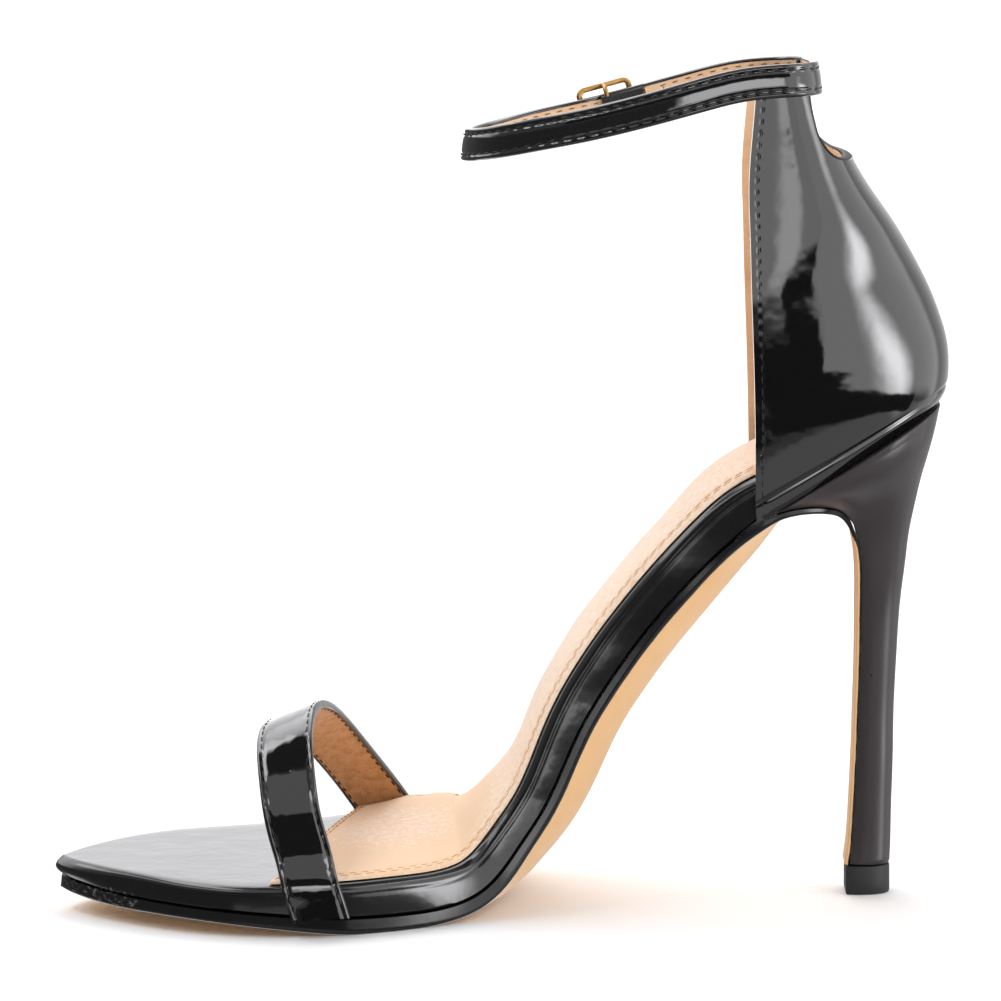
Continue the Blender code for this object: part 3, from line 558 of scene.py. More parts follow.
def sections(path: Any, section: Any, widths: Any) -> np.ndarray:
    """Rings across a band.

    Args:
        path: the points of its middle line.
        section: offsets along its width and its thickness, the same for all rings or one list for each.
        widths: the direction of its width at each point of the path.

    Returns:
        Rings of points.
    """
    path = np.asarray(path, float)
    aheads = np.gradient(path, axis=0)
    aheads /= np.linalg.norm(aheads, axis=1)[:, None]
    widths = np.asarray(widths, float)
    widths = widths - aheads * np.sum(widths * aheads, axis=1)[:, None]
    widths /= np.linalg.norm(widths, axis=1)[:, None]
    thicks = np.cross(aheads, widths)
    section = np.broadcast_to(np.asarray(section, float), (len(path), *np.shape(section)[-2:]))
    return path[:, None] + widths[:, None] * section[..., :1] + thicks[:, None] * section[..., 1:]


def cut_away(target: bpy.types.Object, cutter: bpy.types.Object, operation: str = "DIFFERENCE") -> None:
    """Cuts the cutter away from the target, or joins it, and removes the cutter."""
    modifier = target.modifiers.new(operation.title(), "BOOLEAN")
    modifier.operation = operation
    modifier.object = cutter
    modifier.material_mode = "TRANSFER"
    graph = bpy.context.evaluated_depsgraph_get()
    result = bpy.data.meshes.new_from_object(target.evaluated_get(graph))
    target.modifiers.clear()
    target.data = result
    bpy.data.objects.remove(cutter)


def finished(piece: bpy.types.Object, slot: Slot, *nodes: str) -> bpy.types.Object:
    """Sets a piece on the shoe, hides the solids that it stands for, and reports it.

    Args:
        piece: the object, with its place in its mesh.
        slot: not used.
        nodes: the names of the solids that it stands for.

    Returns:
        The same object.
    """
    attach(piece, "root")
    if nodes:
        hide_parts(*nodes)
    LOG.info("%s: %d faces", piece.name, len(piece.data.polygons))
    return piece


def linear(colour: str) -> tuple[float, float, float, float]:
    """A linear colour from six sRGB hex digits."""
    shares = [int(colour[i : i + 2], 16) / 255 for i in (0, 2, 4)]
    made = [share / 12.92 if share <= 0.04045 else ((share + 0.055) / 1.055) ** 2.4 for share in shares]
    return (made[0], made[1], made[2], 1.0)


def per_mm(size: float) -> float:
    """The scale of a pattern on object coordinates whose features are this many millimetres apart."""
    return 1 / (size * MM)


def add_node(tree: Any, kind: str, settings: dict[str, Any] | None = None,
             inputs: dict[Any, Any] | None = None) -> Any:
    """Adds a node with its settings and links.

    Args:
        tree: the node tree.
        kind: the node's type.
        settings: its properties by name.
        inputs: a value or another node's output for each input, by its name or number.

    Returns:
        The node.
    """
    node = tree.nodes.new(kind)
    for name, value in (settings or {}).items():
        setattr(node, name, value)
    for key, value in (inputs or {}).items():
        if isinstance(value, bpy.types.NodeSocket):
            tree.links.new(value, node.inputs[key])
        else:
            node.inputs[key].default_value = value
    return node


@dataclass(frozen=True)
class Finish:
    """A plain surface: its name, sRGB colour and gloss."""

    name: str
    colour: str
    roughness: float
    ior: float = 1.5
    metallic: float = 0.0

    def make(self) -> bpy.types.Material:
        """The material, dressed with this finish's own patterns."""
        material = bpy.data.materials.new(self.name)
        material.use_nodes = True
        tree = material.node_tree
        shader = tree.nodes["Principled BSDF"]
        shader.inputs["Base Color"].default_value = linear(self.colour)
        shader.inputs["Roughness"].default_value = self.roughness
        if self.metallic:
            shader.inputs["Metallic"].default_value = self.metallic
        else:
            shader.inputs["IOR"].default_value = self.ior
        self.dress(tree, shader)
        return material

    def dress(self, tree: Any, shader: Any) -> None:
        """Adds this finish's patterns to its shader."""


@dataclass(frozen=True)
class PatentLeather(Finish):
    """Black patent leather: a poured gloss film over leather.

    The film gives hard mirror-like reflections, and the leather's slack and grain under it break their edges.
    Stitches pull it into small dimples, dust shows on it as pale specks, and knocks at the toe rub it grey.
    """

    grain_size: float = 2.6
    grain_depth: float = 0.035
    slack_size: float = 13.0
    slack_depth: float = 0.16
    seam: float | None = None
    pitch: float = 2.9
    dimple: float = 0.05
    speck_size: float = 5.0
    speck_share: float = 0.16
    speck_radius: tuple[float, float] = (0.02, 0.034)
    dust: str = "8d8a88"
    dimple_reach: tuple[float, float] = (0.1, 0.75)
    dimple_swing: float = 0.42
    film: float = 1.0
    film_roughness: float = 0.01
    film_ior: float = 1.56
    scuffed: bool = False
    scuff: str = "8a8a88"
    scuff_size: float = 0.9
    scuff_levels: tuple[float, float] = (0.52, 0.72)
    scuff_roughness: float = 0.75

    def dress(self, tree: Any, shader: Any) -> None:
        """Adds the film, its waviness, the dimples along a seam, the specks and the scuffs."""
        shader.inputs["Coat Weight"].default_value = self.film
        shader.inputs["Coat Roughness"].default_value = self.film_roughness
        shader.inputs["Coat IOR"].default_value = self.film_ior
        place = add_node(tree, "ShaderNodeTexCoord").outputs["Object"]
        slack = add_node(tree, "ShaderNodeTexNoise", None,
                         {"Vector": place, "Scale": per_mm(self.slack_size), "Detail": 1.0})
        grain = add_node(tree, "ShaderNodeTexNoise", None,
                         {"Vector": place, "Scale": per_mm(self.grain_size), "Detail": 1.0, "Roughness": 0.4})
        waves = add_node(tree, "ShaderNodeBump", None,
                         {"Height": slack.outputs["Fac"], "Distance": self.slack_depth * MM})
        waves = add_node(tree, "ShaderNodeBump", None, {"Height": grain.outputs["Fac"],
                                                       "Distance": self.grain_depth * MM,
                                                       "Normal": waves.outputs["Normal"]})
        if self.seam is not None:
            waves = add_node(tree, "ShaderNodeBump", None, {"Height": self.dimples(tree),
                                                           "Distance": self.dimple * MM,
                                                           "Normal": waves.outputs["Normal"]})
        tree.links.new(waves.outputs["Normal"], shader.inputs["Normal"])
        tree.links.new(waves.outputs["Normal"], shader.inputs["Coat Normal"])
        colour, rough = self.specks(tree, place)
        if self.scuffed:
            colour, rough = self.scuffs(tree, place, colour, rough)
        tree.links.new(colour, shader.inputs["Base Color"])
        tree.links.new(rough, shader.inputs["Roughness"])

    def dimples(self, tree: Any) -> Any:
        """A height that falls at each stitch of the seams, which lie on both sides of the middle."""
        band = add_node(tree, "ShaderNodeUVMap", {"uv_map": BAND})
        parts = add_node(tree, "ShaderNodeSeparateXYZ", None, {0: band.outputs["UV"]})
        away = add_node(tree, "ShaderNodeMath", {"operation": "ABSOLUTE"}, {0: parts.outputs["Y"]})
        away = add_node(tree, "ShaderNodeMath", {"operation": "SUBTRACT"}, {0: away.outputs[0], 1: self.seam})
        away = add_node(tree, "ShaderNodeMath", {"operation": "ABSOLUTE"}, {0: away.outputs[0]})
        inner, outer = self.dimple_reach
        near = add_node(tree, "ShaderNodeMapRange", {"interpolation_type": "SMOOTHSTEP"},
                        {"Value": away.outputs[0], "From Min": inner, "From Max": outer,
                         "To Min": 1.0, "To Max": 0.0})
        turn = add_node(tree, "ShaderNodeMath", {"operation": "MULTIPLY"},
                        {0: parts.outputs["X"], 1: 2 * math.pi / self.pitch})
        wave = add_node(tree, "ShaderNodeMath", {"operation": "COSINE"}, {0: turn.outputs[0]})
        pull = add_node(tree, "ShaderNodeMath", {"operation": "MULTIPLY_ADD"},
                        {0: wave.outputs[0], 1: self.dimple_swing, 2: 1 - self.dimple_swing})
        depth = add_node(tree, "ShaderNodeMath", {"operation": "MULTIPLY"},
                         {0: near.outputs[0], 1: pull.outputs[0]})
        return add_node(tree, "ShaderNodeMath", {"operation": "SUBTRACT"},
                        {0: 1.0, 1: depth.outputs[0]}).outputs[0]

    def specks(self, tree: Any, place: Any) -> tuple[Any, Any]:
        """Dust: a pale speck in a few of the pattern's cells."""
        cells = add_node(tree, "ShaderNodeTexVoronoi", None,
                         {"Vector": place, "Scale": per_mm(self.speck_size)})
        parts = add_node(tree, "ShaderNodeSeparateColor", None, {0: cells.outputs["Color"]})
        few = add_node(tree, "ShaderNodeMath", {"operation": "LESS_THAN"},
                       {0: parts.outputs[0], 1: self.speck_share})
        inner, outer = self.speck_radius
        small = add_node(tree, "ShaderNodeMapRange", None,
                         {"Value": cells.outputs["Distance"], "From Min": inner, "From Max": outer,
                          "To Min": 1.0, "To Max": 0.0})
        speck = add_node(tree, "ShaderNodeMath", {"operation": "MULTIPLY"},
                         {0: few.outputs[0], 1: small.outputs[0]})
        colour = add_node(tree, "ShaderNodeMix", {"data_type": "RGBA"},
                          {0: speck.outputs[0], 6: linear(self.colour), 7: linear(self.dust)})
        rough = add_node(tree, "ShaderNodeMapRange", None,
                         {"Value": speck.outputs[0], "To Min": self.roughness, "To Max": 0.7})
        return colour.outputs[2], rough.outputs[0]

    def scuffs(self, tree: Any, place: Any, colour: Any, rough: Any) -> tuple[Any, Any]:
        """Dusty grey rubs where the mark on the mesh is high."""
        mark = add_node(tree, "ShaderNodeAttribute", {"attribute_name": MARK})
        streaks = add_node(tree, "ShaderNodeMapping", None, {"Vector": place, "Scale": (0.45, 1.0, 1.6)})
        cloud = add_node(tree, "ShaderNodeTexNoise", None,
                         {"Vector": streaks.outputs[0], "Scale": per_mm(self.scuff_size), "Detail": 6.0,
                        "Roughness": 0.75})
        level = add_node(tree, "ShaderNodeMath", {"operation": "MULTIPLY"},
                         {0: cloud.outputs["Fac"], 1: mark.outputs["Fac"]})
        low, high = self.scuff_levels
        rub = add_node(tree, "ShaderNodeMapRange", None,
                       {"Value": level.outputs[0], "From Min": low, "From Max": high, "To Max": 0.75})
        colour = add_node(tree, "ShaderNodeMix", {"data_type": "RGBA"},
                          {0: rub.outputs[0], 6: colour, 7: linear(self.scuff)})
        rough = add_node(tree, "ShaderNodeMix", {"data_type": "FLOAT"},
                         {0: rub.outputs[0], 2: rough, 3: self.scuff_roughness})
        return colour.outputs[2], rough.outputs[0]


@dataclass(frozen=True)
class TanLining(Finish):
    """Tan microfibre lining with a short nap: matt, softly mottled, its colour deeper where the mesh's mark
    is high, which on the sock includes painted shade along the stitch grooves.
    """

    pale: str = "f3d3b2"
    deep: str = "c08a58"
    mottle_size: float = 5.0
    nap_size: float = 0.7
    nap_depth: float = 0.05
    nap_share: float = 0.55
    deepening: float = 0.5
    sheen: float = 0.25
    sheen_roughness: float = 0.45
    stops: tuple[float, float, float] = (0.52, 0.78, 1.25 / 1.3)

    def dress(self, tree: Any, shader: Any) -> None:
        """Adds the mottled colour, the nap and its sheen."""
        shader.inputs["Sheen Weight"].default_value = self.sheen
        shader.inputs["Sheen Roughness"].default_value = self.sheen_roughness
        place = add_node(tree, "ShaderNodeTexCoord").outputs["Object"]
        nap = add_node(tree, "ShaderNodeTexNoise", None,
                       {"Vector": place, "Scale": per_mm(self.nap_size), "Detail": 3.0, "Roughness": 0.7})
        cloud = add_node(tree, "ShaderNodeTexNoise", None,
                         {"Vector": place, "Scale": per_mm(self.mottle_size), "Detail": 4.0,
                          "Roughness": 0.6})
        mark = add_node(tree, "ShaderNodeAttribute", {"attribute_name": MARK})
        mottled = add_node(tree, "ShaderNodeMath", {"operation": "MULTIPLY_ADD"},
                           {0: nap.outputs["Fac"], 1: self.nap_share, 2: cloud.outputs["Fac"]})
        # The mark deepens the colour; on the sock it holds painted shade along the stitch grooves as well as
        # a deeper ring round the ball.
        depth = add_node(tree, "ShaderNodeMath", {"operation": "MULTIPLY_ADD"},
                         {0: mark.outputs["Fac"], 1: self.deepening, 2: mottled.outputs[0]})
        ramp = add_node(tree, "ShaderNodeValToRGB", None, {0: depth.outputs[0]})
        ends = ramp.color_ramp.elements
        ends[0].position, ends[0].color = self.stops[0], linear(self.pale)
        ends[1].position, ends[1].color = self.stops[2], linear(self.deep)
        ends.new(self.stops[1]).color = linear(self.colour)
        tree.links.new(ramp.outputs[0], shader.inputs["Base Color"])
        bump = add_node(tree, "ShaderNodeBump", None,
                        {"Height": nap.outputs["Fac"], "Distance": self.nap_depth * MM})
        tree.links.new(bump.outputs[0], shader.inputs["Normal"])


@dataclass(frozen=True)
class SoleLeather(Finish):
    """Smooth tan sole with its edge inked black by hand: a slightly uneven line between the two."""

    ink: str = "141314"
    ink_roughness: float = 0.16
    ink_wander: float = 0.36
    wander_size: float = 4.0
    ink_edge: tuple[float, float] = (0.13, 0.27)
    tone: str = "deb480"
    cloud_size: float = 9.0
    dust: str = "8f8f8d"
    dust_size: float = 1.3
    dust_levels: tuple[float, float] = (0.54, 0.74)
    dust_roughness: float = 0.7
    skin_depth: float = 0.05

    def dress(self, tree: Any, shader: Any) -> None:
        """Adds the ink where the band is negative, the cloudy tan and the toe's scuffs."""
        place = add_node(tree, "ShaderNodeTexCoord").outputs["Object"]
        band = add_node(tree, "ShaderNodeUVMap", {"uv_map": BAND})
        parts = add_node(tree, "ShaderNodeSeparateXYZ", None, {0: band.outputs["UV"]})
        wander = add_node(tree, "ShaderNodeTexNoise", None,
                          {"Vector": place, "Scale": per_mm(self.wander_size), "Detail": 2.0})
        line = add_node(tree, "ShaderNodeMath", {"operation": "MULTIPLY_ADD"},
                        {0: wander.outputs["Fac"], 1: self.ink_wander, 2: parts.outputs["Y"]})
        tan = add_node(tree, "ShaderNodeMapRange", {"interpolation_type": "SMOOTHSTEP"},
                       {"Value": line.outputs[0], "From Min": self.ink_edge[0], "From Max": self.ink_edge[1]})
        cloud = add_node(tree, "ShaderNodeTexNoise", None,
                         {"Vector": place, "Scale": per_mm(self.cloud_size), "Detail": 5.0, "Roughness": 0.6})
        tone = add_node(tree, "ShaderNodeMix", {"data_type": "RGBA"},
                        {0: cloud.outputs["Fac"], 6: linear(self.tone), 7: linear(self.colour)})
        mark = add_node(tree, "ShaderNodeAttribute", {"attribute_name": MARK})
        streaks = add_node(tree, "ShaderNodeMapping", None, {"Vector": place, "Scale": (0.5, 1.0, 1.6)})
        dust = add_node(tree, "ShaderNodeTexNoise", None,
                        {"Vector": streaks.outputs[0], "Scale": per_mm(self.dust_size), "Detail": 5.0,
                         "Roughness": 0.75})
        level = add_node(tree, "ShaderNodeMath", {"operation": "MULTIPLY"},
                         {0: dust.outputs["Fac"], 1: mark.outputs["Fac"]})
        low, high = self.dust_levels
        rub = add_node(tree, "ShaderNodeMapRange", None,
                       {"Value": level.outputs[0], "From Min": low, "From Max": high, "To Max": 0.7})
        inked = add_node(tree, "ShaderNodeMix", {"data_type": "RGBA"},
                         {0: rub.outputs[0], 6: linear(self.ink), 7: linear(self.dust)})
        colour = add_node(tree, "ShaderNodeMix", {"data_type": "RGBA"},
                          {0: tan.outputs[0], 6: inked.outputs[2], 7: tone.outputs[2]})
        tree.links.new(colour.outputs[2], shader.inputs["Base Color"])
        gloss = add_node(tree, "ShaderNodeMapRange", None,
                         {"Value": tan.outputs[0], "To Min": self.ink_roughness, "To Max": self.roughness})
        rough = add_node(tree, "ShaderNodeMix", {"data_type": "FLOAT"},
                         {0: rub.outputs[0], 2: gloss.outputs[0], 3: self.dust_roughness})
        tree.links.new(rough.outputs[0], shader.inputs["Roughness"])
        bump = add_node(tree, "ShaderNodeBump", None,
                        {"Height": cloud.outputs["Fac"], "Distance": self.skin_depth * MM})
        tree.links.new(bump.outputs[0], shader.inputs["Normal"])


@dataclass(frozen=True)
class SatinCover(Finish):
    """Satin black covering, glued over a moulded core: a soft wide gleam, fine grain and one small nick."""

    nick: tuple[float, float, float] = (0.0872, 0.0025, 0.0535)
    nick_size: float = 1.15
    nick_squash: tuple[float, float, float] = (0.85, 0.3, 1.2)
    nick_ragged: float = 0.9
    nick_depth: float = 12.0
    core: str = "050505"
    grain_size: float = 0.6
    grain_depth: float = 0.012
    streak_size: float = 3.0
    streak_gloss: tuple[float, float] = (-0.05, 0.06)

    def dress(self, tree: Any, shader: Any) -> None:
        """Adds the grain, slight streaks of gloss and the nick."""
        place = add_node(tree, "ShaderNodeTexCoord").outputs["Object"]
        streaks = add_node(tree, "ShaderNodeMapping", None, {"Vector": place, "Scale": (1.0, 1.0, 0.12)})
        cloud = add_node(tree, "ShaderNodeTexNoise", None,
                         {"Vector": streaks.outputs[0], "Scale": per_mm(self.streak_size), "Detail": 4.0})
        grain = add_node(tree, "ShaderNodeTexNoise", None,
                         {"Vector": place, "Scale": per_mm(self.grain_size), "Detail": 2.0})
        glossier, duller = self.streak_gloss
        rough = add_node(tree, "ShaderNodeMapRange", None,
                         {"Value": cloud.outputs["Fac"], "From Min": 0.3, "From Max": 0.7,
                          "To Min": self.roughness + glossier, "To Max": self.roughness + duller})
        away = add_node(tree, "ShaderNodeVectorMath", {"operation": "SUBTRACT"}, {0: place, 1: self.nick})
        squashed = add_node(tree, "ShaderNodeVectorMath", {"operation": "MULTIPLY"},
                            {0: away.outputs[0], 1: self.nick_squash})
        distance = add_node(tree, "ShaderNodeVectorMath", {"operation": "LENGTH"}, {0: squashed.outputs[0]})
        ragged = add_node(tree, "ShaderNodeMath", {"operation": "MULTIPLY_ADD"},
                          {0: grain.outputs["Fac"], 1: self.nick_ragged * MM, 2: distance.outputs["Value"]})
        size = self.nick_size * MM
        nick = add_node(tree, "ShaderNodeMapRange", None,
                        {"Value": ragged.outputs[0], "From Min": size, "From Max": 1.3 * size,
                         "To Min": 1.0, "To Max": 0.0})
        colour = add_node(tree, "ShaderNodeMix", {"data_type": "RGBA"},
                          {0: nick.outputs[0], 6: linear(self.colour), 7: linear(self.core)})
        dull = add_node(tree, "ShaderNodeMix", {"data_type": "FLOAT"},
                        {0: nick.outputs[0], 2: rough.outputs[0], 3: 0.9})
        tree.links.new(colour.outputs[2], shader.inputs["Base Color"])
        tree.links.new(dull.outputs[0], shader.inputs["Roughness"])
        height = add_node(tree, "ShaderNodeMath", {"operation": "MULTIPLY_ADD"},
                          {0: nick.outputs[0], 1: -self.nick_depth, 2: grain.outputs["Fac"]})
        bump = add_node(tree, "ShaderNodeBump", None,
                        {"Height": height.outputs[0], "Distance": self.grain_depth * MM})
        tree.links.new(bump.outputs[0], shader.inputs["Normal"])


@dataclass(frozen=True)
class Grained(Finish):
    """A surface with one fine grain and a second tone, such as rubber, thread or webbing."""

    tone: str = "2e2d2d"
    grain_size: float = 0.8
    grain_depth: float = 0.03

    def dress(self, tree: Any, shader: Any) -> None:
        """Adds the grain to its colour and its surface."""
        place = add_node(tree, "ShaderNodeTexCoord").outputs["Object"]
        grain = add_node(tree, "ShaderNodeTexNoise", None,
                         {"Vector": place, "Scale": per_mm(self.grain_size), "Detail": 4.0,
                          "Roughness": 0.65})
        colour = add_node(tree, "ShaderNodeMix", {"data_type": "RGBA"},
                          {0: grain.outputs["Fac"], 6: linear(self.colour), 7: linear(self.tone)})
        tree.links.new(colour.outputs[2], shader.inputs["Base Color"])
        bump = add_node(tree, "ShaderNodeBump", None, {"Height": grain.outputs["Fac"],
                                                      "Distance": self.grain_depth * MM})
        tree.links.new(bump.outputs[0], shader.inputs["Normal"])


@dataclass(frozen=True)
class GoldPlate(Finish):
    """Pale gold plate on a cast buckle, tumbled smooth: warm, bright, with faint wear and tarnish."""

    tarnish: str = "96703f"
    cloud_size: float = 2.5
    gloss_swing: tuple[float, float] = (-0.08, 0.15)
    mark_size: float = 0.35
    mark_depth: float = 0.01

    def dress(self, tree: Any, shader: Any) -> None:
        """Adds the tarnish, uneven polish and fine tumbling marks."""
        place = add_node(tree, "ShaderNodeTexCoord").outputs["Object"]
        cloud = add_node(tree, "ShaderNodeTexNoise", None,
                         {"Vector": place, "Scale": per_mm(self.cloud_size), "Detail": 4.0, "Roughness": 0.6})
        colour = add_node(tree, "ShaderNodeMix", {"data_type": "RGBA"},
                          {0: cloud.outputs["Fac"], 6: linear(self.colour), 7: linear(self.tarnish)})
        brighter, duller = self.gloss_swing
        rough = add_node(tree, "ShaderNodeMapRange", None,
                         {"Value": cloud.outputs["Fac"], "To Min": self.roughness + brighter,
                          "To Max": self.roughness + duller})
        marks = add_node(tree, "ShaderNodeTexNoise", None,
                         {"Vector": place, "Scale": per_mm(self.mark_size), "Detail": 2.0})
        bump = add_node(tree, "ShaderNodeBump", None,
                        {"Height": marks.outputs["Fac"], "Distance": self.mark_depth * MM})
        tree.links.new(colour.outputs[2], shader.inputs["Base Color"])
        tree.links.new(rough.outputs[0], shader.inputs["Roughness"])
        tree.links.new(bump.outputs[0], shader.inputs["Normal"])


@dataclass
class Finishes:
    """Every material of the shoe, made once."""

    patent: Any = field(init=False)
    rand: Any = field(init=False)
    toe_patent: Any = field(init=False)
    ankle_patent: Any = field(init=False)
    counter_patent: Any = field(init=False)
    lining: Any = field(init=False)
    strap_lining: Any = field(init=False)
    sock: Any = field(init=False)
    sole: Any = field(init=False)
    heel: Any = field(init=False)
    rubber: Any = field(init=False)
    webbing: Any = field(init=False)
    thread: Any = field(init=False)
    tan_thread: Any = field(init=False)
    lining_thread: Any = field(init=False)
    gold: Any = field(init=False)

    def __post_init__(self) -> None:
        """Makes the materials."""
        self.patent = PatentLeather("black patent leather, poured", BLACK, 0.05).make()
        self.rand = PatentLeather("black patent leather, wrapped", BLACK, 0.22, film=0.55,
                                  film_roughness=0.06, scuffed=True).make()
        self.toe_patent = PatentLeather("black patent leather, toe strap", BLACK, 0.05, seam=5.4, pitch=2.9,
                                        grain_size=3.2, grain_depth=0.06).make()
        self.ankle_patent = PatentLeather("black patent leather, ankle strap", BLACK, 0.05, seam=2.35,
                                          pitch=3.1, dimple=0.07).make()
        self.counter_patent = PatentLeather("black patent leather, counter", BLACK, 0.05, seam=1.8, pitch=2.7,
                                            dimple=0.025, slack_size=22.0, slack_depth=0.22,
                                            grain_size=3.8).make()
        self.lining = TanLining("tan microfibre lining, napped", "e8c29b", 0.75, pale="eecdaa", deep="dfb68c",
                                mottle_size=7.0).make()
        self.strap_lining = TanLining("tan microfibre strap lining, napped", "cc9562", 0.85, pale="d6a270",
                                      deep="b6824f", mottle_size=2.0, nap_size=0.5).make()
        self.sock = TanLining("tan sock lining, brushed", "f2d8bf", 0.62, pale="f5ddc7", deep="e8c49e",
                              mottle_size=1.3, nap_size=0.5, nap_depth=0.03, deepening=0.5).make()
        self.sole = SoleLeather("tan sole leather, edge inked black", "d6a870", 0.42).make()
        self.heel = SatinCover("satin black heel cover, glued", "342f30", 0.34).make()
        self.rubber = Grained("black heel rubber, moulded", "1b1a1b", 0.55).make()
        self.webbing = Grained("black ribbed elastic, woven", "191919", 0.8, tone="383838",
                               grain_size=0.5).make()
        self.thread = Grained("black bonded thread, twisted", "070707", 0.5, tone="1c1c1c",
                              grain_size=0.4).make()
        self.tan_thread = Grained("tan bonded thread, twisted", "b98450", 0.6, tone="cf9f6c",
                                  grain_size=0.4).make()
        self.lining_thread = Grained("brown bonded thread, twisted", "5e4634", 0.6, tone="78604a",
                                     grain_size=0.4).make()
        self.gold = GoldPlate("pale gold plate, tumbled", "cfa465", 0.27, metallic=1.0).make()


class SeamTree:
    """Geometry Nodes that set small rounded bars along lines: stitches, and the ribs of elastic."""

    def __init__(self) -> None:
        """Builds the tree with its named inputs."""
        tree = bpy.data.node_groups.new("Bars along a seam", "GeometryNodeTree")
        face = tree.interface
        face.new_socket("Geometry", in_out="OUTPUT", socket_type="NodeSocketGeometry")
        face.new_socket("Geometry", in_out="INPUT", socket_type="NodeSocketGeometry")
        for name in ("Pitch", "Bar length", "Bar width", "Bar height", "Turn", "Wobble"):
            face.new_socket(name, in_out="INPUT", socket_type="NodeSocketFloat")
        face.new_socket("Seed", in_out="INPUT", socket_type="NodeSocketInt")
        face.new_socket("Material", in_out="INPUT", socket_type="NodeSocketMaterial")
        given = add_node(tree, "NodeGroupInput").outputs
        bar = add_node(tree, "GeometryNodeMeshCylinder", None,
                       {"Vertices": 8, "Side Segments": 5, "Radius": 1.0, "Depth": 2.0})
        self.shape_bar(tree, bar, given)
        seam = add_node(tree, "GeometryNodeMeshToCurve", None, {0: given["Geometry"]})
        spaced_out = add_node(tree, "GeometryNodeResampleCurve", {"mode": "LENGTH"},
                              {"Curve": seam.outputs[0], "Length": given["Pitch"]})
        ahead = add_node(tree, "GeometryNodeInputTangent")
        away = add_node(tree, "GeometryNodeInputNamedAttribute", {"data_type": "FLOAT_VECTOR"},
                        {"Name": "out"})
        lying = add_node(tree, "FunctionNodeAlignRotationToVector", {"axis": "X"},
                         {"Vector": ahead.outputs[0]})
        facing = add_node(tree, "FunctionNodeAlignRotationToVector", {"axis": "Z", "pivot_axis": "X"},
                          {"Rotation": lying.outputs[0], "Vector": away.outputs["Attribute"]})
        chance = add_node(tree, "FunctionNodeRandomValue", {"data_type": "FLOAT"},
                          {2: -1.0, 3: 1.0, "Seed": given["Seed"]})
        slip = add_node(tree, "ShaderNodeMath", {"operation": "MULTIPLY_ADD"},
                        {0: chance.outputs[1], 1: given["Wobble"], 2: given["Turn"]})
        turn = add_node(tree, "ShaderNodeCombineXYZ", None, {2: slip.outputs[0]})
        turned = add_node(tree, "FunctionNodeRotateRotation", {"rotation_space": "LOCAL"},
                          {0: facing.outputs[0], 1: turn.outputs[0]})
        placed = add_node(tree, "GeometryNodeInstanceOnPoints", None,
                          {"Points": spaced_out.outputs[0], "Instance": self.bar,
                           "Rotation": turned.outputs[0]})
        real = add_node(tree, "GeometryNodeRealizeInstances", None, {0: placed.outputs[0]})
        smooth = add_node(tree, "GeometryNodeSetShadeSmooth", None, {0: real.outputs[0]})
        dressed = add_node(tree, "GeometryNodeSetMaterial", None,
                           {"Geometry": smooth.outputs[0], "Material": given["Material"]})
        add_node(tree, "NodeGroupOutput", None, {0: dressed.outputs[0]})
        self.tree = tree

    def shape_bar(self, tree: Any, bar: Any, given: Any) -> None:
        """Rounds the bar's ends, lays it along X and gives it its sizes."""
        place = add_node(tree, "GeometryNodeInputPosition")
        parts = add_node(tree, "ShaderNodeSeparateXYZ", None, {0: place.outputs[0]})
        end = add_node(tree, "ShaderNodeMath", {"operation": "POWER"}, {1: 4.0})
        size = add_node(tree, "ShaderNodeMath", {"operation": "ABSOLUTE"}, {0: parts.outputs["Z"]})
        tree.links.new(size.outputs[0], end.inputs[0])
        left = add_node(tree, "ShaderNodeMath", {"operation": "MULTIPLY_ADD"},
                        {0: end.outputs[0], 1: -0.85, 2: 1.0})
        full = add_node(tree, "ShaderNodeMath", {"operation": "SQRT"}, {0: left.outputs[0]})
        scale = add_node(tree, "ShaderNodeCombineXYZ", None, {0: full.outputs[0], 1: full.outputs[0], 2: 1.0})
        round_end = add_node(tree, "ShaderNodeVectorMath", {"operation": "MULTIPLY"},
                             {0: place.outputs[0], 1: scale.outputs[0]})
        rounded = add_node(tree, "GeometryNodeSetPosition", None,
                           {"Geometry": bar.outputs[0], "Position": round_end.outputs[0]})
        sizes = add_node(tree, "ShaderNodeCombineXYZ", None,
                         {0: given["Bar height"], 1: given["Bar width"], 2: given["Bar length"]})
        halved = add_node(tree, "ShaderNodeVectorMath", {"operation": "SCALE"},
                          {0: sizes.outputs[0], "Scale": 0.5})
        laid = add_node(tree, "GeometryNodeTransform", None,
                        {"Geometry": rounded.outputs[0], "Rotation": (0.0, math.pi / 2, 0.0),
                         "Scale": halved.outputs[0]})
        self.bar = laid.outputs[0]


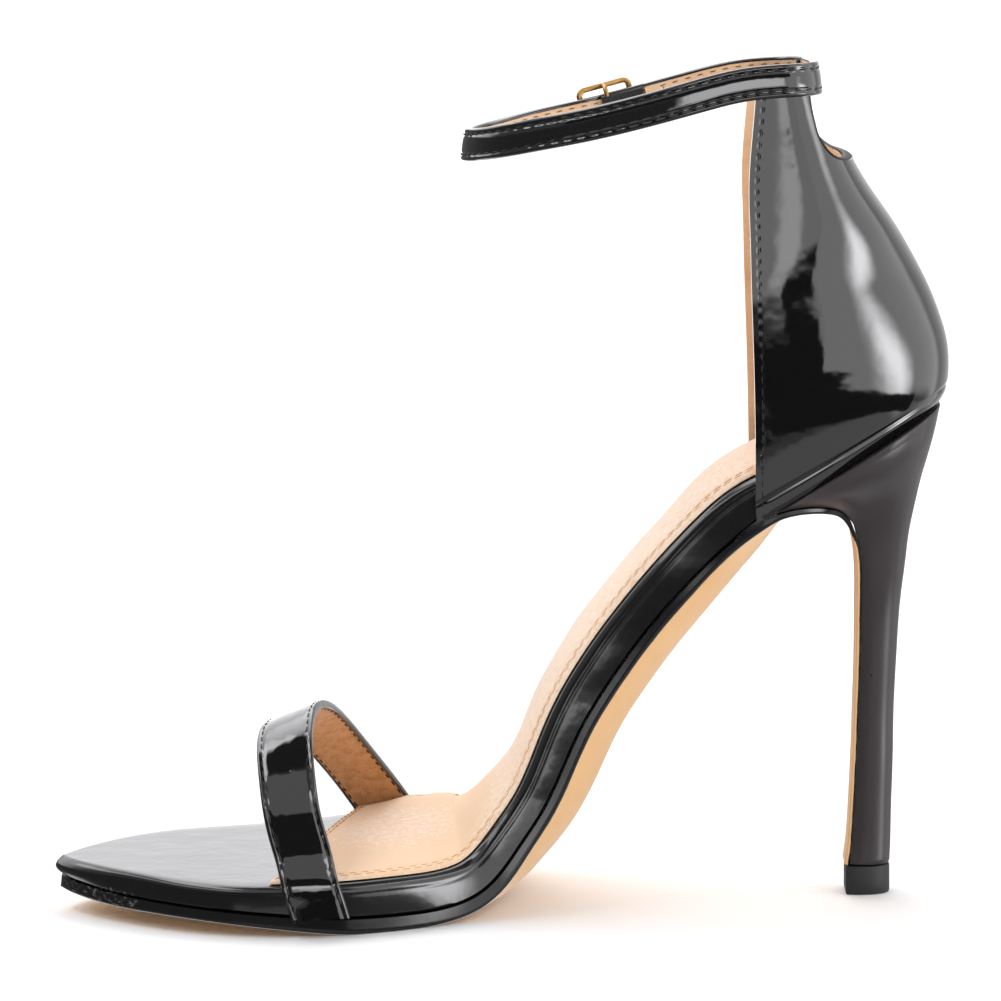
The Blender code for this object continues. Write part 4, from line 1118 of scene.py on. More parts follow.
@dataclass
class Seam:
    """Rows of stitches, or ribs: where they lie and how each bar is cut, in millimetres."""

    name: str
    pitch: float
    length: float
    width: float
    height: float
    turn: float = 0.0
    wobble: float = 0.06
    rows: list[tuple[np.ndarray, np.ndarray]] = field(default_factory=list)

    def add(self, path: Any, out: Any) -> None:
        """Adds a row along a path, with the direction away from the surface at each of its points."""
        self.rows.append((np.asarray(path, float), np.asarray(out, float)))

    def build(self, tree: SeamTree, material: bpy.types.Material, slot: Slot) -> bpy.types.Object:
        """Runs the Geometry Nodes along the rows and keeps the plain mesh."""
        points, edges, outs = [], [], []
        for path, out in self.rows:
            start = len(points)
            points += list((path + CENTRING) * MM)
            outs += list(np.broadcast_to(out, path.shape))
            edges += [(start + i, start + i + 1) for i in range(len(path) - 1)]
        mesh = bpy.data.meshes.new(self.name)
        mesh.from_pydata([tuple(p) for p in points], edges, [])
        away = mesh.attributes.new("out", "FLOAT_VECTOR", "POINT")
        away.data.foreach_set("vector", np.asarray(outs, np.float32).ravel())
        line = bpy.data.objects.new(self.name + "_line", mesh)
        modifier = line.modifiers.new("Seam", "NODES")
        modifier.node_group = tree.tree
        values = {"Pitch": self.pitch * MM, "Bar length": self.length * MM, "Bar width": self.width * MM,
                  "Bar height": self.height * MM, "Turn": self.turn, "Wobble": self.wobble, "Seed": 7,
                  "Material": material}
        for item in tree.tree.interface.items_tree:
            if item.in_out == "INPUT" and item.name in values:
                modifier[item.identifier] = values[item.name]
        bpy.context.scene.collection.objects.link(line)
        graph = bpy.context.evaluated_depsgraph_get()
        made = bpy.data.objects.new(self.name, bpy.data.meshes.new_from_object(line.evaluated_get(graph)))
        bpy.context.scene.collection.objects.link(made)
        bpy.data.objects.remove(line)
        return finished(made, slot)


def bands(along: Any, across: Any) -> np.ndarray:
    """Places along and across a piece, from a number for each ring and one for each point of a ring."""
    along, across = np.asarray(along, float), np.asarray(across, float)
    if across.ndim == 1:
        across = np.broadcast_to(across, (len(along), len(across)))
    return np.stack([np.broadcast_to(along[:, None], across.shape), across], axis=-1)


def lengths(path: np.ndarray) -> np.ndarray:
    """The distance along a path at each of its points."""
    return np.concatenate([[0.0], np.cumsum(np.linalg.norm(np.diff(path, axis=0), axis=1))])


@dataclass
class Rand:
    """The insole board wrapped in patent: full under the toes, thick at the side, its top edge rounded."""

    last: Last
    finishes: Finishes
    round_radius: float = 2.2
    low_ease: float = 0.45
    ripple: float = 0.05
    undercut: float = 0.35
    crease: float = 0.12
    crease_down: float = 2.7
    crease_width: float = 0.35
    crease_start: tuple[float, float] = (60.0, 90.0)
    scuff_length: float = 27.0
    side_steps: int = 16

    def ring(self, s: float) -> tuple[np.ndarray, np.ndarray]:
        """The ring of points at s, and how scuffed each is."""
        _, half, rand, _ = self.last.footbed_row(s)
        ease = min(self.round_radius, 0.7 * half, 0.35 * rand)
        low = min(self.low_ease, 0.35 * half)
        climb = (rand - ease - low) / self.side_steps
        right = [(half - low, 0.0)] + [(half, low + climb * i) for i in range(self.side_steps)]
        turn = [(half - ease + a, rand - ease + b) for a, b in corner(ease, 0, 8)]
        top = [(share * (half - ease), rand) for share in np.linspace(0.9, -0.9, 13)]
        side = right + turn
        outline = np.array(side + top + [(-y, n) for y, n in side[::-1]])
        y, n = outline[:, 0], outline[:, 1]
        at_side = smooth_step(np.abs(y), 0.8 * half, half)
        side_share = np.sin(np.pi * np.clip(n / rand, 0, 1)) * at_side
        wave = math.sin(s / 4.1) + 0.7 * math.sin(s / 2.3 + 1.3) + 0.5 * math.sin(s / 6.7 + 0.4)
        y = y + np.sign(y) * side_share * wave * self.ripple * min(1.0, half / 8)
        at_side = smooth_step(np.abs(y), 0.8 * half, half)
        low_share = np.clip(1 - n / (rand - ease), 0, 1) ** 1.6 * at_side
        y = y - np.sign(y) * self.undercut * low_share * min(1.0, half / 12)
        fold = hump(n, rand - self.crease_down, self.crease_width) * float(smooth_step(s, *self.crease_start))
        y = y - np.sign(y) * self.crease * fold * smooth_step(np.abs(y), 0.8 * half, half)
        near_toe = smooth_step(-s, -self.scuff_length, -self.scuff_length * 0.6)
        scuff = smooth_step(-n / rand, -0.45, -0.12) * near_toe
        return self.last.footbed_points(s, y, n), scuff * smooth_step(np.abs(y), 0.5 * half, 0.9 * half)

    def build(self) -> bpy.types.Object:
        """The board from the tip of the toe to inside the counter."""
        last = self.last
        front = spaced(0.25, last.nose_length, 64, 1.7)
        waist = spaced(last.nose_length, last.foot_line.knots[WAIST_ROWS - 1], 96)[1:]
        back = spaced(last.board_end - 0.25, last.foot_line.knots[WAIST_ROWS - 1], 30, 1.7)[-2::-1]
        rings, marks = zip(*[self.ring(s) for s in front + waist + back])
        skin = Skin()
        skin.loft(rings, mark=marks)
        return finished(skin.make("wrapped_rand", [self.finishes.rand]), Slot.RAND, "footbed_board")


@dataclass
class Outsole:
    """The sole: thin at the forefoot, domed under the waist, then down the breast of the heel."""

    last: Last
    finishes: Finishes
    edge_ease: float = 0.9
    belly_power: float = 2.3
    ink_over: float = 0.6
    ink_fade: float = 7.0
    breast_ink: float = 0.25
    scuff_length: float = 30.0

    def ring(self, s: float, ink_share: float) -> tuple[np.ndarray, np.ndarray, np.ndarray]:
        """The ring of points at s, the distance of each past the ink's edge, and how scuffed each is."""
        centre, half, edge, belly = self.last.outsole_row(s)
        ease = min(self.edge_ease, 0.35 * half, 0.35 * edge)
        top = [(share * half, -GAP) for share in np.linspace(-0.96, 0.96, 9)]
        side = [(half, -GAP - (edge - ease) * i / 4) for i in range(5)]
        turn = [(half - ease * (1 - math.cos(a)), -GAP - edge + ease - ease * math.sin(a))
                for a in (0.5, 1.0)]
        shares = [math.cos(math.radians(a)) for a in np.linspace(0.0, 90.0, 11)]
        belly_points = [(share * (half - ease), -GAP - edge - belly * (1 - share**self.belly_power))
                        for share in shares]
        right = np.array(side + turn + belly_points)
        down = lengths(right)
        ink = (edge + self.ink_over) * ink_share + self.breast_ink * (1 - ink_share)
        left = right[-2::-1] * (-1, 1)
        outline = np.vstack([top, right, left])
        past = np.concatenate([np.full(len(top), -1.0), down - ink, (down - ink)[-2::-1]])
        here, normal = self.last.sole_line.frame(s)
        y, n = outline[:, 0], outline[:, 1]
        heights = np.maximum(here[1] + normal[1] * n, 0.0)
        points = np.stack([here[0] + normal[0] * n, centre + y, heights], axis=-1)
        scuff = smooth_step(-s, -self.scuff_length, -self.scuff_length * 0.6) * np.where(past < 0, 1.0, 0.0)
        return points, past, scuff

    def build(self) -> bpy.types.Object:
        """The sole from the tip of the toe to the top lift."""
        last = self.last
        waist_end = float(last.sole_line.knots[WAIST_ROWS - 1])
        lip = float(last.sole_line.knots[WAIST_ROWS + LIP_ROW])
        ink_end = float(last.sole_line.knots[WAIST_ROWS + INK_ROW])
        stations = spaced(0.25, last.nose_length, 56, 1.7) + spaced(last.nose_length, waist_end, 80)[1:]
        stations += spaced(waist_end, lip, 16)[1:] + spaced(lip, last.sole_line.length, 80)[1:]
        rings, past, marks = [], [], []
        for s in stations:
            points, beyond, mark = self.ring(s, 1 - float(smooth_step(s, ink_end, ink_end + self.ink_fade)))
            rings.append(points)
            past.append(beyond)
            marks.append(mark)
        skin = Skin()
        skin.loft(rings, bands(stations, np.array(past)), marks)
        return finished(skin.make("inked_outsole", [self.finishes.sole], 50), Slot.SOLE, "outsole")


@dataclass
class Sock:
    """The padded lining on the board, from under the toe strap to the heel, with two rows of stitches."""

    last: Last
    finishes: Finishes
    inset: float = 1.9
    thick: float = 1.8
    crown: float = 0.9
    edge_share: float = 0.55
    front: float = 0.2406 * 212.0
    skew: float = 0.08 * 212.0
    rows_in: tuple[float, float] = (1.5, 2.7)
    groove: float = 0.3
    groove_width: float = 0.45
    edge_round: float = 0.9
    ball: float = 84.0
    ball_length: float = 20.0
    ball_dish: float = 0.5
    fold: float = 0.35
    ripple: float = 0.1
    ring_tone: float = 0.55
    ring_length: float = 26.0
    behind_tone: float = 0.3
    # Painted shade: how much deeper the colour is along the stitch grooves.
    groove_painted_shade: float = 0.4

    def span(self, share: float, along: float) -> float:
        """How far along the footbed a point of the sock is, from its shares across and along."""
        start = self.front + self.skew * (share + 1) / 2
        return start + (self.last.board_end - self.inset - start) * along

    def point(self, share: float, along: float, lift: float | None = None) -> tuple[np.ndarray, float]:
        """A point of the sock and its mark.

        Args:
            share: place across, from -1 to 1.
            along: place along, from 0 to 1.
            lift: height above the board, or None for the padded top.

        Returns:
            The point, and how deep its colour is: a deeper ring round the ball and a band behind it, and
                painted shade along the stitch grooves.
        """
        s = self.span(share, along)
        _, half, rand, _ = self.last.footbed_row(s)
        reach = max(half - self.inset, GAP)
        mark = 0.0
        if lift is None:
            edge = min((1 - abs(share)) * reach, (s - self.span(share, 0.0)) * 0.95)
            round_off = 1 - (1 - min(edge / self.edge_round, 1.0)) ** 2
            grooves = sum(float(hump(edge, row, self.groove_width)) for row in self.rows_in)
            full = self.edge_share + (1 - self.edge_share) * (1 - share**4)
            pad = self.thick * full + self.crown * (1 - share**2)
            pad = pad * (0.35 + 0.65 * round_off) - self.groove * grooves
            dish = float(hump(s, self.ball, self.ball_length)) * float(hump(share, 0.05, 0.72))
            fold = float(hump(s, self.ball - 14 + 12 * share, 3.5)) * float(smooth_step(share, -0.5, 0.4))
            pad += -self.ball_dish * dish + self.fold * fold
            pad += self.ripple * math.sin(s / 3.3 + 4 * share) * float(smooth_step(-abs(share), -0.95, -0.6))
            off_ring = abs(math.hypot((s - self.ball) / self.ring_length, share / 0.8) - 1.0)
            # Deeper colour in a ring round the ball and a band behind it, lighter in the ball's dish, and
            # painted shade along the stitch grooves.
            mark = self.ring_tone * float(hump(off_ring, 0.0, 0.35)) - 0.1 * dish
            mark += self.behind_tone * float(hump(s, self.ball + 8, 24.0)) + self.groove_painted_shade * grooves
            lift = GAP + max(pad, 0.25)
        return self.last.footbed_points(s, np.array([share * reach]), np.array([rand + lift]))[0], mark

    def build(self, tree: SeamTree) -> bpy.types.Object:
        """The padded sheet, closed underneath, and its stitches."""
        shares = np.sin(np.radians(np.linspace(-90, 90, 61)))
        alongs = 1 - np.array(spaced(0.0, 1.0, 150, 1.15))[::-1]
        skin = Skin()
        top = [[self.point(share, along) for share in shares] for along in alongs]
        upper = skin.add([[p for p, _ in row] for row in top], mark=[[m for _, m in row] for row in top])
        lower = skin.add([[self.point(share, along, GAP)[0] for share in shares] for along in alongs])
        skin.span(upper, False)
        skin.span(lower, False)
        rims = [np.concatenate([i[0], i[1:-1, -1], i[-1, ::-1], i[-2:0:-1, 0]]) for i in (upper, lower)]
        skin.span(np.array(rims), True)
        sock = finished(skin.make("padded_sock", [self.finishes.sock], 70), Slot.SOCK, "sock")
        self.stitch(tree)
        return sock

    def stitch(self, tree: SeamTree) -> None:
        """Two rows of tan stitches inside the sock's edge."""
        seam = Seam("sock_stitches", 3.0, 2.1, 0.42, 0.34)
        for row in self.rows_in:
            for side in (-1, 1):
                seam.add(*self.row_path(row, side))
            seam.add(*self.front_path(row))
        seam.build(tree, self.finishes.tan_thread, Slot.SOCK)

    def lifted(self, share: float, along: float) -> tuple[np.ndarray, np.ndarray]:
        """A point just on the padded top, and the direction away from it."""
        here, _ = self.point(share, along)
        ahead = self.point(share, min(along + 0.004, 1.0))[0] - self.point(share, max(along - 0.004, 0.0))[0]
        across = self.point(min(share + 0.03, 1.0), along)[0] - self.point(max(share - 0.03, -1.0), along)[0]
        out = unit(np.cross(ahead, across))
        return here + out * 0.05, out

    def row_path(self, row: float, side: int) -> tuple[list[np.ndarray], list[np.ndarray]]:
        """A row along one side, at this distance from the edge."""
        spots = []
        for along in np.linspace(row / 150, 0.955, 110):
            s = self.span(side * 1.0, along)
            half = max(self.last.footbed_row(s)[1] - self.inset, GAP)
            spots.append(self.lifted(side * max(1 - row / half, 0.0), along))
        return [p for p, _ in spots], [o for _, o in spots]

    def front_path(self, row: float) -> tuple[list[np.ndarray], list[np.ndarray]]:
        """A row along the front edge, at this distance from it."""
        spots = []
        for share in np.linspace(-0.93, 0.93, 60):
            length = self.last.board_end - self.inset - self.span(share, 0.0)
            spots.append(self.lifted(float(share), row / length))
        return [p for p, _ in spots], [o for _, o in spots]


@dataclass
class Heel:
    """The slender covered heel and the rubber piece under it."""

    last: Last
    finishes: Finishes
    width: float = 0.6 * 78.0
    widest_share: float = 0.34
    fullness: float = 2.2
    spread: float = 1.4
    drop: float = 0.45
    lift_rings: tuple[tuple[float, float], ...] = (
        (0.0, 0.5), (0.12, 0.2), (0.5, 0.0), (3.0, 0.0), (6.5, 0.0), (6.85, 0.1), (7.0, 0.35)
    )

    def outline(self, front: Any, back: Any, breast: float, bulge: float) -> np.ndarray:
        """A D seen along the heel: a breast of this half width, bulging sides and a round back."""
        front, back = np.asarray(front), np.asarray(back)
        ring = []
        for share in [math.sin(math.radians(a)) ** self.spread for a in np.linspace(0, 90, 29)]:
            if share < self.widest_share:
                y = breast + (bulge - breast) * math.sin(math.radians(90 * share / self.widest_share))
            else:
                rest = (share - self.widest_share) / (1 - self.widest_share)
                y = bulge * max(1 - rest**self.fullness, 0.0) ** (1 / self.fullness)
            spot = front + (back - front) * share
            ring.append((spot[0], y, spot[1]))
        return np.array(ring + [(x, -y, z) for x, y, z in ring[-2::-1]])

    def seat_point(self, along: float, up: float) -> tuple[float, float]:
        """The point of the straight seat's underside above this place at the side of the heel."""
        x, _ = self.last.side_point(along, up)
        low, high = (self.last.side_point(row.along, row.up) for row in (FOOTBED[WAIST_ROWS], FOOTBED[-1]))
        return x, low[1] + (high[1] - low[1]) * (x - low[0]) / (high[0] - low[0]) - self.drop

    def build(self) -> None:
        """The covered heel, then the top lift."""
        last = self.last
        start = BREAST[0]
        rows = [(row.back_along, row.back_up, row.bulge) for row in BREAST]
        backs = Smooth(last.sole_line.knots[WAIST_ROWS:], rows)
        front = self.seat_point(BREAST[LIP_ROW].along, BREAST[LIP_ROW].up)
        back = self.seat_point(start.back_along, start.back_up)
        rings = [self.outline(front, back, start.half * last.ball_width, start.bulge * self.width)]
        for s in spaced(float(last.sole_line.knots[WAIST_ROWS + LIP_ROW]), last.sole_line.length, 90):
            back_along, back_up, bulge = backs(s)
            breast = last.sole_line.about(s)[1] * last.ball_width
            rings.append(self.outline(last.sole_line.line(s), last.side_point(back_along, back_up), breast,
                                      bulge * self.width))
        seat = rings[0]
        rings[0] = seat - (0.0, 0.0, 0.55)
        middle = seat.mean(axis=0)
        for drop, share in ((0.2, 0.995), (0.0, 0.975)):
            rings.insert(0, middle + (seat - middle) * share - (0.0, 0.0, drop))
        tip = rings[-1]
        middle = tip.mean(axis=0)
        rings[-1] = middle + (tip - middle) * (0.95, 0.95, 1.0)
        rings.insert(-1, tip + (0.0, 0.0, 0.35))
        skin = Skin()
        skin.loft(rings)
        finished(skin.make("covered_heel", [self.finishes.heel]), Slot.HEEL, "heel")
        self.build_lift()

    def build_lift(self) -> None:
        """The top lift, its edges a little worn round."""
        tip = BREAST[-1]
        front = self.last.toe_x + tip.along * self.last.length - tip.sole * self.last.outsole_edge
        back = self.last.toe_x + tip.back_along * self.last.length
        half, bulge = tip.half * self.last.ball_width, tip.bulge * self.width
        rings = []
        for z, inset in self.lift_rings:
            rings.append(self.outline((front + inset, z), (back - inset, z), half - inset, bulge - inset))
        skin = Skin()
        skin.loft(rings)
        finished(skin.make("rubber_top_lift", [self.finishes.rubber]), Slot.TOP_LIFT, "top_lift")


@dataclass(frozen=True)
class StrapSection:
    """A strap cut across: patent folded over both edges, puffed, grooved at its seams, lined inside."""

    width: float
    thick: float
    seam: float
    fold: float = 0.75
    puff: float = 0.16
    groove: float = 0.16
    ease: float = 0.7
    lip: float = 0.12
    lip_run: float = 0.22

    def outline(self) -> tuple[np.ndarray, np.ndarray]:
        """The section's points as offsets along its width and outward, and the finish after each point."""
        half, tall = self.width / 2, self.thick / 2
        flat = half - self.ease
        outer = [(a, tall + self.surface(a)) for a in np.linspace(-flat, flat, 27)]
        right = [(flat + self.ease * math.sin(t), tall - self.ease + self.ease * math.cos(t))
                 for t in np.linspace(0.25, 0.5 * math.pi, 5)]
        right += [(flat + self.ease * math.cos(t), -tall + self.ease - self.ease * math.sin(t))
                  for t in np.linspace(0.0, 0.5 * math.pi, 5)]
        lined = half - self.fold
        inner = [(lined - self.lip, -tall)]
        inner += [(a, -tall + self.lip) for a in np.linspace(lined - self.lip_run, self.lip_run - lined, 11)]
        inner += [(self.lip - lined, -tall)]
        left = [(-a, b) for a, b in right[::-1]]
        points = outer + right + inner + left
        kinds = [0] * (len(outer) + len(right)) + [1] * (len(inner) - 1) + [0] * (len(left) + 1)
        return np.array(points), np.array(kinds)

    def surface(self, a: float) -> float:
        """How far the patent stands out at this place across the strap."""
        middle = self.puff * float(smooth_step(-abs(a), -self.seam, -0.3 * self.seam))
        return middle - self.groove * float(hump(abs(a), self.seam, 0.5))


@dataclass
class ToeStrap:
    """One band over the toes, its legs beside the rand and cut level with the outsole."""

    last: Last
    finishes: Finishes
    width: float = 13.2
    thick: float = 2.2
    span: float = 1.0513 * 78.0
    rise: float = 45.0
    seam: float = 5.4

    def beside_rand(self, along: float, side: int) -> tuple[np.ndarray, np.ndarray, float]:
        """A point beside the rand at the footbed's underside, the rand's direction there and its depth."""
        last = self.last
        x = last.toe_x + along * last.length
        search = spaced(0.0, float(last.sole_line.knots[WAIST_ROWS - 1]), 1501)
        s = next(s for s in search if last.foot_line.line(s)[0] >= x)
        edges = []
        for place in (s - self.width / 2, s, s + self.width / 2):
            centre, half, _, _ = last.footbed_row(place)
            edges.append(np.array([last.foot_line.line(place)[0], centre + side * half, 0.0]))
        ahead = unit(edges[2] - edges[0])
        outward = np.array([-ahead[1], ahead[0], 0.0]) * side
        reach = max(outward @ edge for edge in edges) - outward @ edges[1]
        spot = edges[1] + outward * (reach + 2 * GAP + self.thick / 2)
        return spot + (0.0, 0.0, last.foot_line.line(s)[1]), ahead, last.footbed_row(s)[2]

    def leg(self, leg: Leg) -> tuple[list[np.ndarray], np.ndarray]:
        """Three places of a leg, from the outsole to the top of the rand, and the rand's direction there."""
        low, ahead, rand = self.beside_rand(leg.foot, leg.side)
        high, _, _ = self.beside_rand(leg.top, leg.side)
        low[2] += GAP
        high[2] += rand
        return [low, (low + high) / 2, high], ahead

    def path(self, steps: int) -> tuple[np.ndarray, np.ndarray, tuple[float, float]]:
        """The band's middle line, the direction of its width, and the heights at which its ends are cut."""
        near, near_edge = self.leg(NEAR_LEG)
        far, far_edge = self.leg(FAR_LEG)
        middle = (near[0][1] + far[0][1]) / 2
        places, directions = list(near), [near_edge] * len(near)
        for row in TOE_STRAP:
            x = self.last.toe_x + row.along * self.last.length
            places.append(np.array((x, middle + row.across * self.span, row.up * self.rise)))
            share = row.across + 0.5
            tilt = np.array((0.0, 0.0, math.tan(math.radians(row.tilt))))
            directions.append(near_edge * (1 - share) + far_edge * share + tilt)
        places += far[::-1]
        directions += [far_edge] * len(far)
        knots = lengths(np.asarray(places))
        line = Smooth(knots, np.hstack([places, directions]))
        rows = np.array([line(s) for s in np.linspace(0.0, knots[-1], steps)])
        return rows[:, :3], rows[:, 3:], (near[0][2], far[0][2])

    def build(self, tree: SeamTree) -> None:
        """The band and the stitches on both of its faces."""
        path, widths, levels = self.path(150)
        outline, kinds = StrapSection(self.width, self.thick, self.seam).outline()
        flip = np.array((1.0, -1.0)) if self.faces_in(path, widths) else np.array((1.0, 1.0))
        rings = sections(path, outline * flip, widths)
        for end, beside, level in ((0, 1, levels[0]), (-1, -2, levels[1])):
            ahead = rings[beside] - rings[end]
            rings[end] = rings[end] + ahead * ((level - rings[end][:, 2]) / ahead[:, 2])[:, None]
        skin = Skin()
        skin.loft(rings, bands(lengths(path), outline[:, 0]), 0.0, kinds)
        materials = [self.finishes.toe_patent, self.finishes.strap_lining]
        finished(skin.make("toe_band", materials), Slot.UPPER, "toe_strap")
        outside = Seam("toe_band_stitches", 2.9, 1.9, 0.4, 0.3)
        inside = Seam("toe_band_lining_stitches", 2.9, 1.7, 0.42, 0.3)
        keep = slice(3, -3)
        for a in (-self.seam, self.seam):
            for seam, b in ((outside, self.thick / 2 - 0.12), (inside, -self.thick / 2 + 0.1)):
                offset = np.array([[a, b]]) * flip
                row = sections(path, offset, widths)[:, 0]
                base = sections(path, offset * (1, 0), widths)[:, 0]
                seam.add(row[keep], (row - base)[keep])
        outside.build(tree, self.finishes.thread, Slot.UPPER)
        inside.build(tree, self.finishes.thread, Slot.UPPER)

    def faces_in(self, path: np.ndarray, widths: np.ndarray) -> bool:
        """Whether the section's outward direction points to the foot, so that it has to be turned round."""
        top = len(path) // 2
        rings = sections(path, [[0.0, 1.0]], widths)
        return bool(rings[top, 0, 2] < path[top, 2])


@dataclass
class HeelCounter:
    """The closed heel with its two ears: a hollow wall of patent, lined in tan, its front edges folded."""

    last: Last
    finishes: Finishes
    half: float = 0.3615 * 78.0
    seam: float = 1.8
    border: float = 0.3
    welt: float = 0.13
    ear_lean: float = 1.9
    lean_start: float = 1.35
    roll: float = 0.14
    welt_groove: float = 0.3
    seam_groove: float = 0.2
    bead: tuple[float, float] = (0.12, 0.45)
    rows: int = 72
    turns: int = 61

    @cached_property
    def levels(self) -> Smooth:
        """The counter's levels from its seat to the ears."""
        return Smooth([row.front_up + row.back_up for row in COUNTER], COUNTER)

    def ends(self, knot: float) -> tuple[np.ndarray, np.ndarray, float]:
        """The front and the back of one level, seen from the side, and its half width."""
        last = self.last
        row = self.levels(knot)
        front = np.array((last.toe_x + row[0] * last.length, last.counter_z(row[1])))
        back = np.array((last.toe_x + row[2] * last.length, last.counter_z(row[3])))
        climb = COUNTER[-1].front_up - self.lean_start
        leaning = max((float(row[1]) - self.lean_start) / climb, 0.0) ** 1.5
        return front, back, row[4] * self.half - self.ear_lean * leaning

    def level(self, knot: float, inset: float, angles: np.ndarray) -> np.ndarray:
        """One level from its inner front edge round the back to its outer one, set in by a wall."""
        front, back, half = self.ends(knot)
        depth = float(np.linalg.norm(back - front))
        turn = np.radians(np.abs(angles))
        power = 2 / self.last.level_fullness(float(self.levels(knot)[1]))
        reach = np.cos(turn) ** power * (depth - inset)
        y = np.sin(turn) ** power * (half - inset)
        spots = front + ((back - front) / depth) * reach[:, None]
        return np.stack([spots[:, 0], np.copysign(y, angles), spots[:, 1]], axis=-1)

    def build(self, tree: SeamTree) -> None:
        """The wall, cut down at the back between the ears, its piped edges and its stitches."""
        last = self.last
        first, final = self.levels.knots[0], self.levels.knots[-1]
        angles = np.linspace(-90, 90, 2 * self.turns - 1)
        knots = np.concatenate([np.linspace(first, first + self.welt, 24)[:-1],
                                np.linspace(first + self.welt, final, self.rows)])
        outer = np.array([self.level(knot, 0.0, angles) for knot in knots])
        inner = np.array([self.level(knot, last.counter_wall, angles) for knot in knots])
        arcs = np.array([lengths(row) for row in outer])
        edge = np.minimum(arcs, arcs[:, -1:] - arcs)
        outer = self.folded(outer, edge, (knots - first) / self.welt)
        ups = lengths(outer[:, 0])
        skin = Skin()
        outside = skin.add(outer, bands(ups, edge))
        inside = skin.add(inner, bands(ups, edge))
        skin.span(outside, False, 0)
        skin.span(inside, False, 1)
        rims = [np.concatenate([i[0], i[1:-1, -1], i[-1, ::-1], i[-2:0:-1, 0]]) for i in (outside, inside)]
        skin.span(np.array(rims), True, 0)
        counter = skin.make("closed_counter", [self.finishes.counter_patent, self.finishes.lining])
        cut_away(counter, self.notch_cutter())
        counter.data.set_sharp_from_angle(angle=math.radians(40))
        finished(counter, Slot.UPPER, "heel_upper")
        self.stitch(tree)
        self.pipe()

    def folded(self, outer: np.ndarray, edge: np.ndarray, welt: np.ndarray) -> np.ndarray:
        """The outer skin with its front border raised, a groove at the seam and a roll along its bottom."""
        across = np.gradient(outer, axis=1)
        upward = np.gradient(outer, axis=0)
        out = np.cross(across, upward)
        out /= np.linalg.norm(out, axis=2)[..., None]
        middle = outer[..., 1:2] * out[..., 1:2]
        out = np.where(middle.sum() < 0, -out, out)
        raised = self.border * smooth_step(edge, 0.0, 0.6)
        raised *= smooth_step(-edge, -self.seam - 0.6, -self.seam + 0.3)
        rolled = self.roll * np.sin(np.pi * np.clip(welt / 0.62, 0, 1))
        rolled -= self.welt_groove * hump(welt, 0.68, 0.09)
        lift = raised - self.seam_groove * hump(edge, self.seam, 0.4)
        lift += rolled[:, None] * smooth_step(edge, 0.5, 3.0)
        return outer + out * lift[..., None]

    def notch_line(self, count: int) -> np.ndarray:
        """The edge of the notch seen from the side, from the top of an ear to the middle of the back."""
        last = self.last
        spots = [(last.toe_x + s.along * last.length, last.counter_z(s.up)) for s in NOTCH[:-2]]
        line = Smooth(lengths(np.array(spots)), spots)
        start = np.linalg.norm(np.subtract(spots[1], spots[0]))
        return np.array([line(t) for t in np.linspace(0.6 * start, line.knots[-1], count)])

    def notch_cutter(self) -> bpy.types.Object:
        """A block with the notch's outline, across the whole shoe."""
        last = self.last
        line = [tuple(spot) for spot in self.notch_line(40)]
        top = last.counter_z(2.4)
        outline = [(line[0][0], top)] + line + [(line[-1][0] + 60, line[-1][1]), (line[-1][0] + 60, top)]
        sides = [[(x, y, z) for x, z in outline] for y in (-last.ball_width, last.ball_width)]
        skin = Skin()
        skin.loft(sides)
        return skin.make("notch", [self.finishes.counter_patent])

    def side_at(self, spot: np.ndarray, inset: float) -> float:
        """The half width at a place seen from the side, this far inside the outer skin."""
        low, high = float(self.levels.knots[0]), float(self.levels.knots[-1])
        for _ in range(40):
            knot = (low + high) / 2
            front, back, _ = self.ends(knot)
            line = back - front
            if line[0] * (spot[1] - front[1]) - line[1] * (spot[0] - front[0]) > 0:
                low = knot
            else:
                high = knot
        front, back, half = self.ends(knot)
        depth = float(np.linalg.norm(back - front))
        share = min(max(float((spot - front) @ (back - front)) / depth / (depth - inset), 0.0), 1.0)
        fullness = self.last.level_fullness(float(self.levels(knot)[1]))
        return (half - inset) * (1 - share**fullness) ** (1 / fullness)

    def stitch(self, tree: SeamTree) -> None:
        """A row of stitches behind each folded front edge."""
        seam = Seam("counter_stitches", 2.7, 1.8, 0.34, 0.3)
        knots = np.linspace(self.levels.knots[0] + 0.02, self.levels.knots[-1], 80)
        angles = np.linspace(90, 60, 90)
        for side in (-1, 1):
            path, outs = [], []
            for knot in knots:
                row = self.level(knot, 0.0, angles * side)
                arc = lengths(row)
                i = int(np.searchsorted(arc, self.seam))
                ahead = unit(row[i] - row[i - 1])
                share = (self.seam - arc[i - 1]) / (arc[i] - arc[i - 1])
                out = unit(np.array([ahead[1], -ahead[0], 0.0]) * side * -1)
                out = out if out[1] * side > 0 else -out
                path.append(row[i - 1] + (row[i] - row[i - 1]) * share - out * 0.08)
                outs.append(out)
            seam.add(path, outs)
        seam.build(tree, self.finishes.thread, Slot.UPPER)

    def pipe(self) -> None:
        """A thin bead of patent along the notch's cut edge, from ear to ear."""
        line = self.notch_line(90)[14:]
        wall = self.last.counter_wall / 2
        near = [(spot[0], -self.side_at(spot, wall), spot[1]) for spot in line]
        near = [place for place in near if place[1] < -0.5]
        path = np.array(near + [(x, -y, z) for x, y, z in near[::-1]])
        knots = lengths(path)
        line = Smooth(knots, path)
        path = np.array([line(t) for t in np.linspace(0, knots[-1], 160)])
        turns = np.linspace(0, 2 * math.pi, 13)[:-1]
        wide, thick = self.bead
        section = np.stack([(wall + wide) * np.cos(turns), thick * np.sin(turns)], axis=-1)
        widths = np.cross(np.gradient(path, axis=0), self.lean(path))
        skin = Skin()
        skin.loft(sections(path, section, widths))
        finished(skin.make("counter_piping", [self.finishes.thread]), Slot.UPPER)

